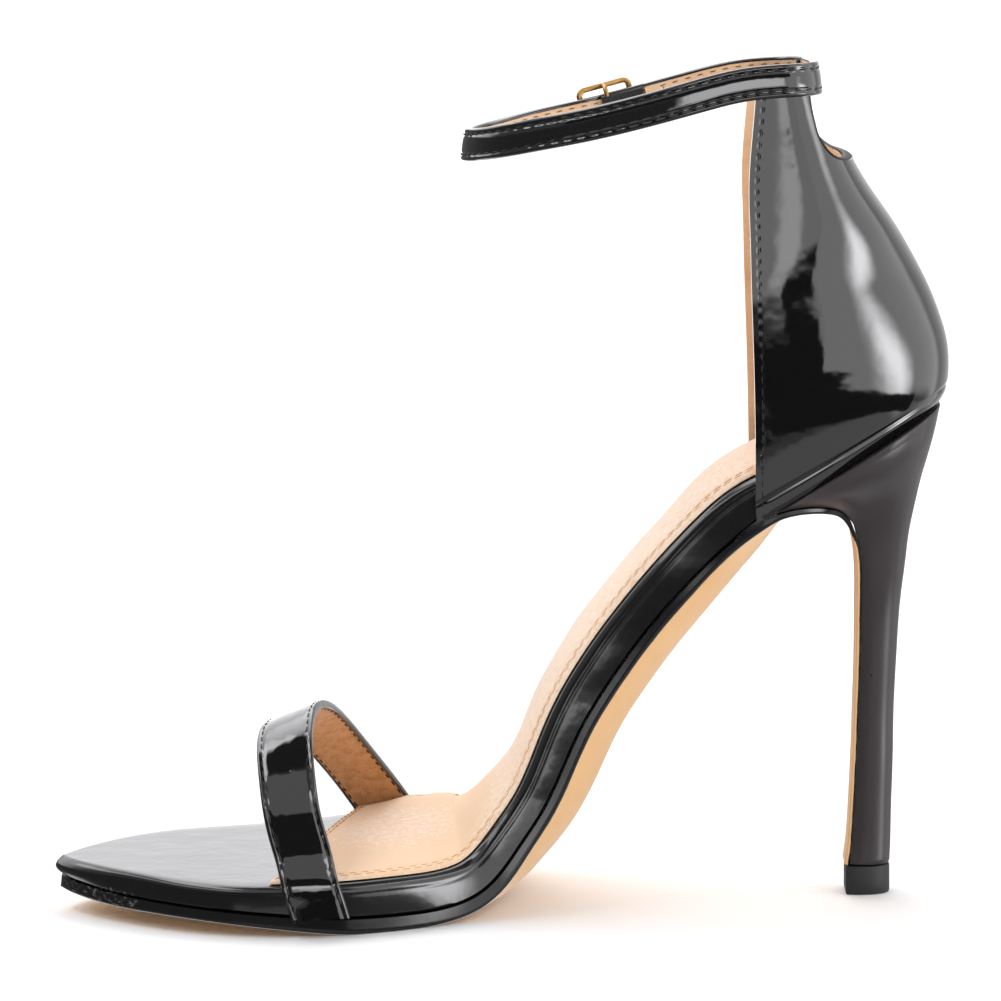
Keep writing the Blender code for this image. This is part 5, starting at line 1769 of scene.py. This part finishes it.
    def lean(self, path: np.ndarray) -> np.ndarray:
        """The direction in which the wall climbs at the notch, for each point of a path along it."""
        steep = smooth_step(path[:, 2], path[:, 2].min() + 3, path[:, 2].max())
        return np.stack([0.35 + 1.5 * steep, np.zeros(len(path)), 1.0 - steep * 0.8], axis=-1)


@dataclass
class AnkleStrap:
    """The thin strap round the ankle, its free end through the buckle, and the buckle's elastic."""

    last: Last
    finishes: Finishes
    height: float = 7.7
    thick: float = 2.2
    loop_length: float = 0.3868 * 212.0
    loop_width: float = 2 * 0.3615 * 78.0 + 6.0
    climb: float = 16.2
    drop: float = 1.5
    lean: float = 0.11
    seam: float = 2.35
    buckle_length: float = 14.0
    buckle_height: float = 12.4
    buckle_corner: float = 1.5
    bar: float = 1.3
    bar_clear: float = 0.4
    bar_out: float = -0.3
    pin: float = 0.55
    prong: float = 0.5
    elastic_thick: float = 0.6
    elastic_height: float = 6.2
    hole: float = 0.95
    hole_count: int = 4
    hole_pitch: float = 6.0
    elastic_reach: float = 9.0
    free_end: float = 26.0

    @cached_property
    def front(self) -> float:
        """Where the loop's front is."""
        return self.last.toe_x + 0.4651 * self.last.length

    @cached_property
    def buckle_x(self) -> float:
        """Where the buckle's middle bar is."""
        return self.front + 0.4146 * self.loop_length

    @cached_property
    def lift(self) -> float:
        """How far outward the free end lies, over the middle bar and the elastic."""
        return self.bar_out + self.pin + self.elastic_thick + 3 * GAP + self.thick / 2

    @cached_property
    def side(self) -> Smooth:
        """The inner side of the loop, mirrored past both ends so that the band turns smoothly there."""
        rows = np.asarray(ANKLE_LOOP)
        steps = np.linalg.norm(np.diff(rows[:, :2] * (self.loop_length, self.loop_width), axis=0), axis=1)
        rows = np.concatenate([rows[1:2] * (1, -1, 1), rows, rows[-2:-1] * (1, -1, 1)])
        knots = np.concatenate([[-steps[0]], [0.0], np.cumsum(steps), [steps.sum() + steps[-1]]])
        return Smooth(knots / steps.sum(), rows)

    def point(self, share: float, side: int, outward: float = 0.0) -> np.ndarray:
        """A point of the band's middle, by its share of the way from front to back."""
        along, across, up = self.side(share)
        y = side * (across * self.loop_width + outward)
        base = self.last.ankle_height - self.climb - self.height / 2 + self.drop / 2
        z = base + self.climb * up - self.drop * (y / self.loop_width + 0.5)
        return np.array((self.front + along * self.loop_length, y, z))

    def share_at(self, x: float) -> float:
        """The share of the loop's side at which it reaches x."""
        return next(share for share in spaced(0.0, 1.0, 801) if self.point(share, 1)[0] >= x)

    def path(self) -> np.ndarray:
        """The band from the elastic round the back, the inner side and the front, to its free end."""
        rear = self.share_at(self.buckle_x + self.elastic_reach)
        lift = self.share_at(self.buckle_x - (self.buckle_length - self.bar) / 2)
        full, end = self.share_at(self.buckle_x - GAP), self.share_at(self.buckle_x + self.free_end)
        path = [self.point(share, 1) for share in spaced(rear, 1.0, 60)]
        path += [self.point(share, -1) for share in spaced(1.0, 0.0, 130)[1:]]
        for share in spaced(0.0, lift, 40)[1:] + spaced(lift, full, 18)[1:] + spaced(full, end, 30)[1:]:
            rise = float(smooth_step(share, lift, full))
            path.append(self.point(share, 1, self.lift * rise))
        return np.array(path)

    @cached_property
    def axes(self) -> tuple[np.ndarray, np.ndarray, np.ndarray, np.ndarray]:
        """The middle of the strap at the buckle, and the directions along it, up and outward."""
        share = self.share_at(self.buckle_x)
        before, here, after = (self.point(share + step, 1) for step in (-0.03, 0.0, 0.03))
        ahead = unit(after - before)
        out = unit(np.cross((0.0, 0.0, 1.0), ahead))
        return here, ahead, np.cross(ahead, out), out

    def spot(self, along: Any, up: Any, out: Any) -> np.ndarray:
        """A point in the buckle's own directions, measured from the middle of the strap."""
        middle, ahead, rise, away = self.axes
        return middle + ahead * along + rise * up + away * out

    def build(self, tree: SeamTree) -> None:
        """The band, its stitches, the elastic and the buckle."""
        path = self.path()
        middle = np.array((path[:, 0].mean(), 0.0, 0.0))
        up = (middle - path) * (self.lean, self.lean, 0.0) / (self.loop_width / 2) + (0.0, 0.0, 1.0)
        outline, kinds = StrapSection(self.height, self.thick, self.seam, 0.6, 0.1, 0.14).outline()
        turned = outline * (1, 1 if sections(path, [[0, 1]], up)[120, 0, 1] < path[120, 1] else -1)
        rings = sections(path, turned, up)
        skin = Skin()
        skin.loft(rings, bands(lengths(path), outline[:, 0]), 0.0, kinds)
        band = skin.make("ankle_band", [self.finishes.ankle_patent, self.finishes.lining])
        for cutter in self.punches():
            cut_away(band, cutter)
        band.data.set_sharp_from_angle(angle=math.radians(40))
        finished(band, Slot.UPPER, "heel_upper")
        self.stitch(tree, path, up, float(np.sign(turned[13, 1])))
        self.build_elastic(tree)
        self.build_buckle()

    def punches(self) -> list[bpy.types.Object]:
        """A round cutter for the hole that the prong stands in and for each spare one."""
        cutters = []
        turns = np.linspace(0, 2 * math.pi, 17)[:-1]
        for i in range(self.hole_count):
            inside = self.lift - (self.thick + GAP) / 2 - GAP / 2 if i else self.bar_out
            along = i * self.hole_pitch - PRONG[0].forward * self.buckle_length
            rings = [[self.spot(along + self.hole * math.cos(t), self.hole * math.sin(t), out) for t in turns]
                     for out in (inside, self.lift + self.thick)]
            skin = Skin()
            skin.loft(rings)
            cutters.append(skin.make("punch", [self.finishes.patent]))
        return cutters

    def stitch(self, tree: SeamTree, path: np.ndarray, up: np.ndarray, outward: float) -> None:
        """Two rows on both faces, and the short row across the lined end at the elastic."""
        outside = Seam("ankle_band_stitches", 3.1, 1.7, 0.42, 0.3)
        inside = Seam("ankle_band_lining_stitches", 3.1, 1.4, 0.3, 0.3)
        keep = slice(4, -6)
        for a in (-self.seam, self.seam):
            for seam, b in ((outside, self.thick / 2 - 0.1), (inside, -self.thick / 2 + 0.1)):
                row = sections(path, [[a, b * outward]], up)[:, 0]
                base = sections(path, [[a, 0.0]], up)[:, 0]
                seam.add(row[keep], (row - base)[keep])
        room = self.seam - 1.1
        for seam, b in ((outside, self.thick / 2 - 0.05), (inside, -self.thick / 2 + 0.1)):
            across = [sections(path, [[a, b * outward]], up)[4, 0] for a in np.linspace(-room, room, 8)]
            base = sections(path, [[0.0, 0.0]], up)[4, 0]
            face = sections(path, [[0.0, b * outward]], up)[4, 0]
            seam.add(across, np.broadcast_to(face - base, (len(across), 3)))
        outside.build(tree, self.finishes.thread, Slot.UPPER)
        inside.build(tree, self.finishes.lining_thread, Slot.UPPER)

    def build_elastic(self, tree: SeamTree) -> None:
        """The band from the middle bar to the rear part of the strap, folded round the bar, with its ribs."""
        fold = self.pin + GAP + self.elastic_thick / 2
        ply = (self.elastic_thick + GAP) / 2
        stop = self.elastic_reach - GAP
        path = [(a, self.bar_out - ply) for a in np.linspace(stop, 2 * fold, 16)]
        path += [(fold * math.cos(t), self.bar_out + fold * math.sin(t))
                 for t in np.radians(np.linspace(-60.0, -300.0, 25))]
        path += [(a, self.bar_out + ply) for a in np.linspace(2 * fold, stop, 16)]
        spots = np.array([self.spot(along, 0.0, out) for along, out in path])
        up = np.broadcast_to(self.axes[2], spots.shape)
        half, tall, ease = self.elastic_height / 2, self.elastic_thick / 2, self.elastic_thick / 4
        section = []
        for w, t, start in ((1, 1, 0), (-1, 1, 90), (-1, -1, 180), (1, -1, 270)):
            section += [(w * (half - ease) + a, t * (tall - ease) + b) for a, b in corner(ease, start, 3)]
        skin = Skin()
        skin.loft(sections(spots, section, up), bands(lengths(spots), np.array(section)[:, 0]))
        elastic = skin.make("ribbed_elastic", [self.finishes.webbing])
        reach, room = 2 * fold, self.prong + GAP
        corners = ((-reach, -reach), (reach, -reach), (reach, reach), (-reach, reach))
        rings = [[self.spot(along, rise, self.bar_out + out) for along, out in corners]
                 for rise in (-room, room)]
        cutter = Skin()
        cutter.loft(rings)
        cut_away(elastic, cutter.make("slit", [self.finishes.webbing]))
        finished(elastic, Slot.ELASTIC, "elastic")
        ribs = Seam("elastic_ribs", 0.95, self.elastic_height, 0.62, 0.42, math.pi / 2, 0.0)
        for way in (-1, 1):
            out = self.bar_out + way * (ply + tall)
            row = [self.spot(a, 0.0, out) for a in np.linspace(2 * fold, stop - GAP, 12)]
            ribs.add(row, way * self.axes[3])
        ribs.build(tree, self.finishes.webbing, Slot.ELASTIC)

    def build_buckle(self) -> None:
        """The gold frame with its middle bar bent in behind the strap, and the prong hooked round it."""
        bar = self.bar
        half, tall = self.buckle_length / 2 - bar / 2, self.buckle_height / 2 - bar / 2
        front_out = self.thick / 2 + self.bar_clear + bar / 2
        rear_out = front_out + self.lift
        loop = []
        for a, u, start in ((half, tall, 0), (-half, tall, 90), (-half, -tall, 180), (half, -tall, 270)):
            middle = (a - math.copysign(self.buckle_corner, a), u - math.copysign(self.buckle_corner, u))
            loop += [(middle[0] + x, middle[1] + y) for x, y in corner(self.buckle_corner, start, 7)]
        spots = np.array([self.spot(along, up, front_out + (rear_out - front_out) * (along / half + 1) / 2)
                          for along, up in loop])
        ahead = np.roll(spots, -1, axis=0) - np.roll(spots, 1, axis=0)
        ahead /= np.linalg.norm(ahead, axis=1)[:, None]
        normal = unit(np.cross(ahead[0], ahead[8]))
        wide = np.cross(ahead, normal)
        turns = np.linspace(0, 2 * math.pi, 17)[:-1]
        flat = np.stack([np.sign(np.cos(turns)) * np.abs(np.cos(turns)) ** 0.55,
                         np.sign(np.sin(turns)) * np.abs(np.sin(turns)) ** 0.55], axis=-1) * bar / 2
        rings = spots[:, None] + wide[:, None] * flat[None, :, :1] + normal * flat[None, :, 1:]
        skin = Skin()
        index = skin.add(rings)
        skin.span(np.vstack([index, index[:1]]), True)
        rail, level = tall, (front_out + rear_out) / 2
        inside = rail - bar - GAP
        drop = [(rail, level), (rail, level / 2), (inside + bar / 2, self.bar_out + bar / 4),
                (inside, self.bar_out)]
        knots = np.array(drop + [(0.0, self.bar_out)] + [(-u, o) for u, o in drop[::-1]])
        path = np.array([self.spot(0.0, u, o) for u, o in knots])
        line = Smooth(lengths(path), path)
        path = np.array([line(t) for t in np.linspace(0, line.knots[-1], 60)])
        ring = np.stack([np.cos(turns), np.sin(turns)], axis=-1) * self.pin
        skin.loft(sections(path, ring, np.broadcast_to(self.axes[1], path.shape)))
        finished(skin.make("gold_frame", [self.finishes.gold]), Slot.BUCKLE, "buckle_frame")
        curl = self.pin + GAP + self.prong
        path = [(curl * math.cos(t), self.bar_out + curl * math.sin(t))
                for t in np.radians(np.linspace(20, -180, 24))]
        path += [(-place.forward * self.buckle_length, place.out * bar) for place in PRONG]
        path = np.array([self.spot(along, 0.0, out) for along, out in path])
        ring = np.stack([np.cos(turns), np.sin(turns)], axis=-1) * self.prong
        skin = Skin()
        skin.loft(sections(path, ring, np.broadcast_to(self.axes[2], path.shape)))
        finished(skin.make("gold_prong", [self.finishes.gold]), Slot.BUCKLE, "buckle_prong")


@dataclass(frozen=True)
class Panel:
    """One soft-edged patch of the studio, light or dark, by its direction and half sizes in degrees.

    The azimuth is 0 in front of the shoe's inner side and grows towards its heel. The slant is the fall in
    elevation for each degree of azimuth. The place says in words where the panel is.
    """

    place: str
    azimuth: float
    elevation: float
    wide: float
    tall: float
    strength: float
    blur: float = 4.0
    slant: float = 0.0


@dataclass
class Studio:
    """A pale floor, soft light all round and the camera where the photographer stood."""

    elevation: float = 8.0
    roll: float = 0.65
    yaw: float = 0.8
    pixels_per_mm: float = 4.2
    distance: float = 1250.0
    target: tuple[float, float, float] = (-0.4, 5.7, 95.5)
    fill: float = 0.30
    far_side: float = 1.6
    far_side_edge: tuple[float, float] = (0.1, 0.45)
    overhead: float = 3.0
    overhead_from: tuple[float, float, float] = (0.0, 0.574, 0.819)
    overhead_edge: tuple[float, float] = (0.90, 0.97)
    floor_half: float = 9.0
    sensor: float = 36.0
    panels: tuple[Panel, ...] = (
        Panel("dark ring overhead", 0.0, 80.0, 180.0, 10.0, 0.08, 4.0),
        Panel("broad light past the heel", 93.0, 15.0, 71.0, 33.0, 1.55, 8.0),
        Panel("dimmer corner behind the heel", 147.0, 5.0, 30.0, 30.0, 0.6, 12.0),
        Panel("low dark side past the toe", -83.0, -10.0, 84.0, 22.0, 0.13, 5.0),
        Panel("soft light high in front", -8.0, 51.0, 34.0, 17.0, 0.75, 2.0),
        Panel("dark band above the camera", -3.0, 24.0, 32.0, 9.5, 0.07, 2.0),
        Panel("thin strip past the toe", -82.0, 40.0, 52.0, 3.0, 4.0, 2.0),
        Panel("thin strip past the heel", 68.0, 45.0, 36.0, 3.0, 4.5, 2.0),
        Panel("high strip past the toe", -95.0, 63.0, 50.0, 8.0, 4.6, 6.0),
        Panel("light beside the camera", 11.0, 3.0, 13.0, 8.5, 1.4, 3.0),
        Panel("pale floor towards the heel", 60.0, -31.5, 90.0, 9.3, 0.65, 2.0),
        Panel("bright patch towards the heel", 61.0, -7.0, 11.5, 9.5, 8.4, 17.0, 0.5),
        Panel("low spot beside the camera", 10.0, 0.0, 4.0, 3.8, 2.9, 4.0),
        Panel("high spot beside the camera", 10.0, 7.5, 9.0, 4.5, 4.2, 4.0),
        Panel("dark line along the floor", 45.0, -19.0, 38.0, 3.8, 0.05, 1.5, 0.1),
        Panel("dark shape beside the camera, its root", 13.0, -12.5, 12.0, 4.8, 0.05, 1.5),
        Panel("dark shape beside the camera, its top", 17.0, -7.5, 6.5, 4.1, 0.05, 2.0),
    )

    def build(self) -> None:
        """Makes the floor, the light and the camera."""
        self.build_floor()
        self.build_light()
        self.build_camera()

    def build_floor(self) -> None:
        """A wide pale sheet of paper, which glossy surfaces don't mirror."""
        mesh = bpy.data.meshes.new("studio_floor")
        far = self.floor_half
        mesh.from_pydata([(-far, -far, 0), (far, -far, 0), (far, far, 0), (-far, far, 0)], [], [(0, 1, 2, 3)])
        mesh.materials.append(Finish("matt white paper, rolled", "fafafa", 0.9).make())
        floor = bpy.data.objects.new("studio_floor", mesh)
        floor.visible_glossy = False
        bpy.context.scene.collection.objects.link(floor)

    def build_light(self) -> None:
        """Light from all round: a bright far side and overhead, dim in front, with soft and dark panels."""
        world = bpy.data.worlds.new("soft studio")
        world.use_nodes = True
        tree = world.node_tree
        tree.nodes.clear()
        place = add_node(tree, "ShaderNodeTexCoord").outputs["Generated"]
        parts = add_node(tree, "ShaderNodeSeparateXYZ", None, {0: place})
        ahead = add_node(tree, "ShaderNodeMath", {"operation": "MULTIPLY"}, {0: parts.outputs["Y"], 1: -1.0})
        azimuth = add_node(tree, "ShaderNodeMath", {"operation": "ARCTAN2"},
                           {0: parts.outputs["X"], 1: ahead.outputs[0]})
        azimuth = add_node(tree, "ShaderNodeMath", {"operation": "DEGREES"}, {0: azimuth.outputs[0]})
        elevation = add_node(tree, "ShaderNodeMath", {"operation": "ARCSINE"}, {0: parts.outputs["Z"]})
        elevation = add_node(tree, "ShaderNodeMath", {"operation": "DEGREES"}, {0: elevation.outputs[0]})
        behind = self.climb(tree, parts.outputs["Y"], *self.far_side_edge)
        level = self.blend(tree, behind, self.fill, self.far_side)
        for panel in self.panels:
            level = self.blend(tree, self.mask(tree, azimuth.outputs[0], elevation.outputs[0], panel), level,
                               panel.strength)
        over = add_node(tree, "ShaderNodeVectorMath", {"operation": "DOT_PRODUCT"},
                        {0: place, 1: self.overhead_from})
        above = self.climb(tree, over.outputs["Value"], *self.overhead_edge)
        level = self.blend(tree, above, level, self.overhead)
        shown = add_node(tree, "ShaderNodeLightPath").outputs["Is Camera Ray"]
        level = self.blend(tree, shown, level, 1.0)
        light = add_node(tree, "ShaderNodeBackground", None, {"Color": linear("fdfdff"), "Strength": level})
        add_node(tree, "ShaderNodeOutputWorld", None, {0: light.outputs[0]})
        bpy.context.scene.world = world
        bpy.context.scene.view_settings.view_transform = "Standard"

    def climb(self, tree: Any, value: Any, low: float, high: float) -> Any:
        """0 below low, 1 above high and a smooth climb between them."""
        return add_node(tree, "ShaderNodeMapRange", {"interpolation_type": "SMOOTHSTEP"},
                        {"Value": value, "From Min": low, "From Max": high}).outputs[0]

    def blend(self, tree: Any, share: Any, under: Any, over: Any) -> Any:
        """A strength between two others, each a number or an output."""
        return add_node(tree, "ShaderNodeMix", {"data_type": "FLOAT"},
                        {0: share, 2: under, 3: over}).outputs[0]

    def mask(self, tree: Any, azimuth: Any, elevation: Any, panel: Panel) -> Any:
        """How much of a panel covers each direction.

        Args:
            tree: the world's node tree.
            azimuth: the direction's azimuth in degrees.
            elevation: the direction's elevation in degrees.
            panel: the panel.

        Returns:
            The output that holds the share.
        """
        subtract = {"operation": "SUBTRACT"}
        aside = add_node(tree, "ShaderNodeMath", subtract, {0: azimuth, 1: panel.azimuth}).outputs[0]
        up = add_node(tree, "ShaderNodeMath", subtract, {0: elevation, 1: panel.elevation}).outputs[0]
        up = add_node(tree, "ShaderNodeMath", {"operation": "MULTIPLY_ADD"},
                      {0: aside, 1: panel.slant, 2: up}).outputs[0]
        shares = []
        for away, size in ((aside, panel.wide), (up, panel.tall)):
            far = add_node(tree, "ShaderNodeMath", {"operation": "ABSOLUTE"}, {0: away}).outputs[0]
            gone = self.climb(tree, far, size - panel.blur / 2, size + panel.blur / 2)
            shares.append(add_node(tree, "ShaderNodeMath", subtract, {0: 1.0, 1: gone}).outputs[0])
        return add_node(tree, "ShaderNodeMath", {"operation": "MULTIPLY"},
                        {0: shares[0], 1: shares[1]}).outputs[0]

    def build_camera(self) -> None:
        """The camera, low at the shoe's inner side."""
        y, e, r = (math.radians(v) for v in (self.yaw, self.elevation, self.roll))
        back = Vector((math.sin(y) * math.cos(e), -math.cos(y) * math.cos(e), math.sin(e)))
        right = Vector((math.cos(y), math.sin(y), 0.0))
        up = back.cross(right)
        across = math.cos(r) * right - math.sin(r) * up
        above = math.sin(r) * right + math.cos(r) * up
        data = bpy.data.cameras.new("camera")
        data.sensor_width = self.sensor
        data.lens = self.pixels_per_mm * self.distance / IMAGE_PIXELS * data.sensor_width
        data.clip_start, data.clip_end = 0.05, 60.0
        camera = bpy.data.objects.new("camera", data)
        turn = Matrix((across, above, back)).transposed().to_4x4()
        turn.translation = (Vector(self.target) + back * self.distance) * MM
        camera.matrix_world = turn
        bpy.context.scene.collection.objects.link(camera)
        bpy.context.scene.camera = camera


def main() -> None:
    """Builds the shoe piece by piece, then the studio."""
    logging.basicConfig(level=logging.INFO, format="%(name)s %(message)s")
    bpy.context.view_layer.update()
    last, finishes, tree = Last(), Finishes(), SeamTree()
    Rand(last, finishes).build()
    Outsole(last, finishes).build()
    Sock(last, finishes).build(tree)
    Heel(last, finishes).build()
    ToeStrap(last, finishes).build(tree)
    HeelCounter(last, finishes).build(tree)
    AnkleStrap(last, finishes).build(tree)
    Studio().build()


if __name__ == "__main__":
    main()
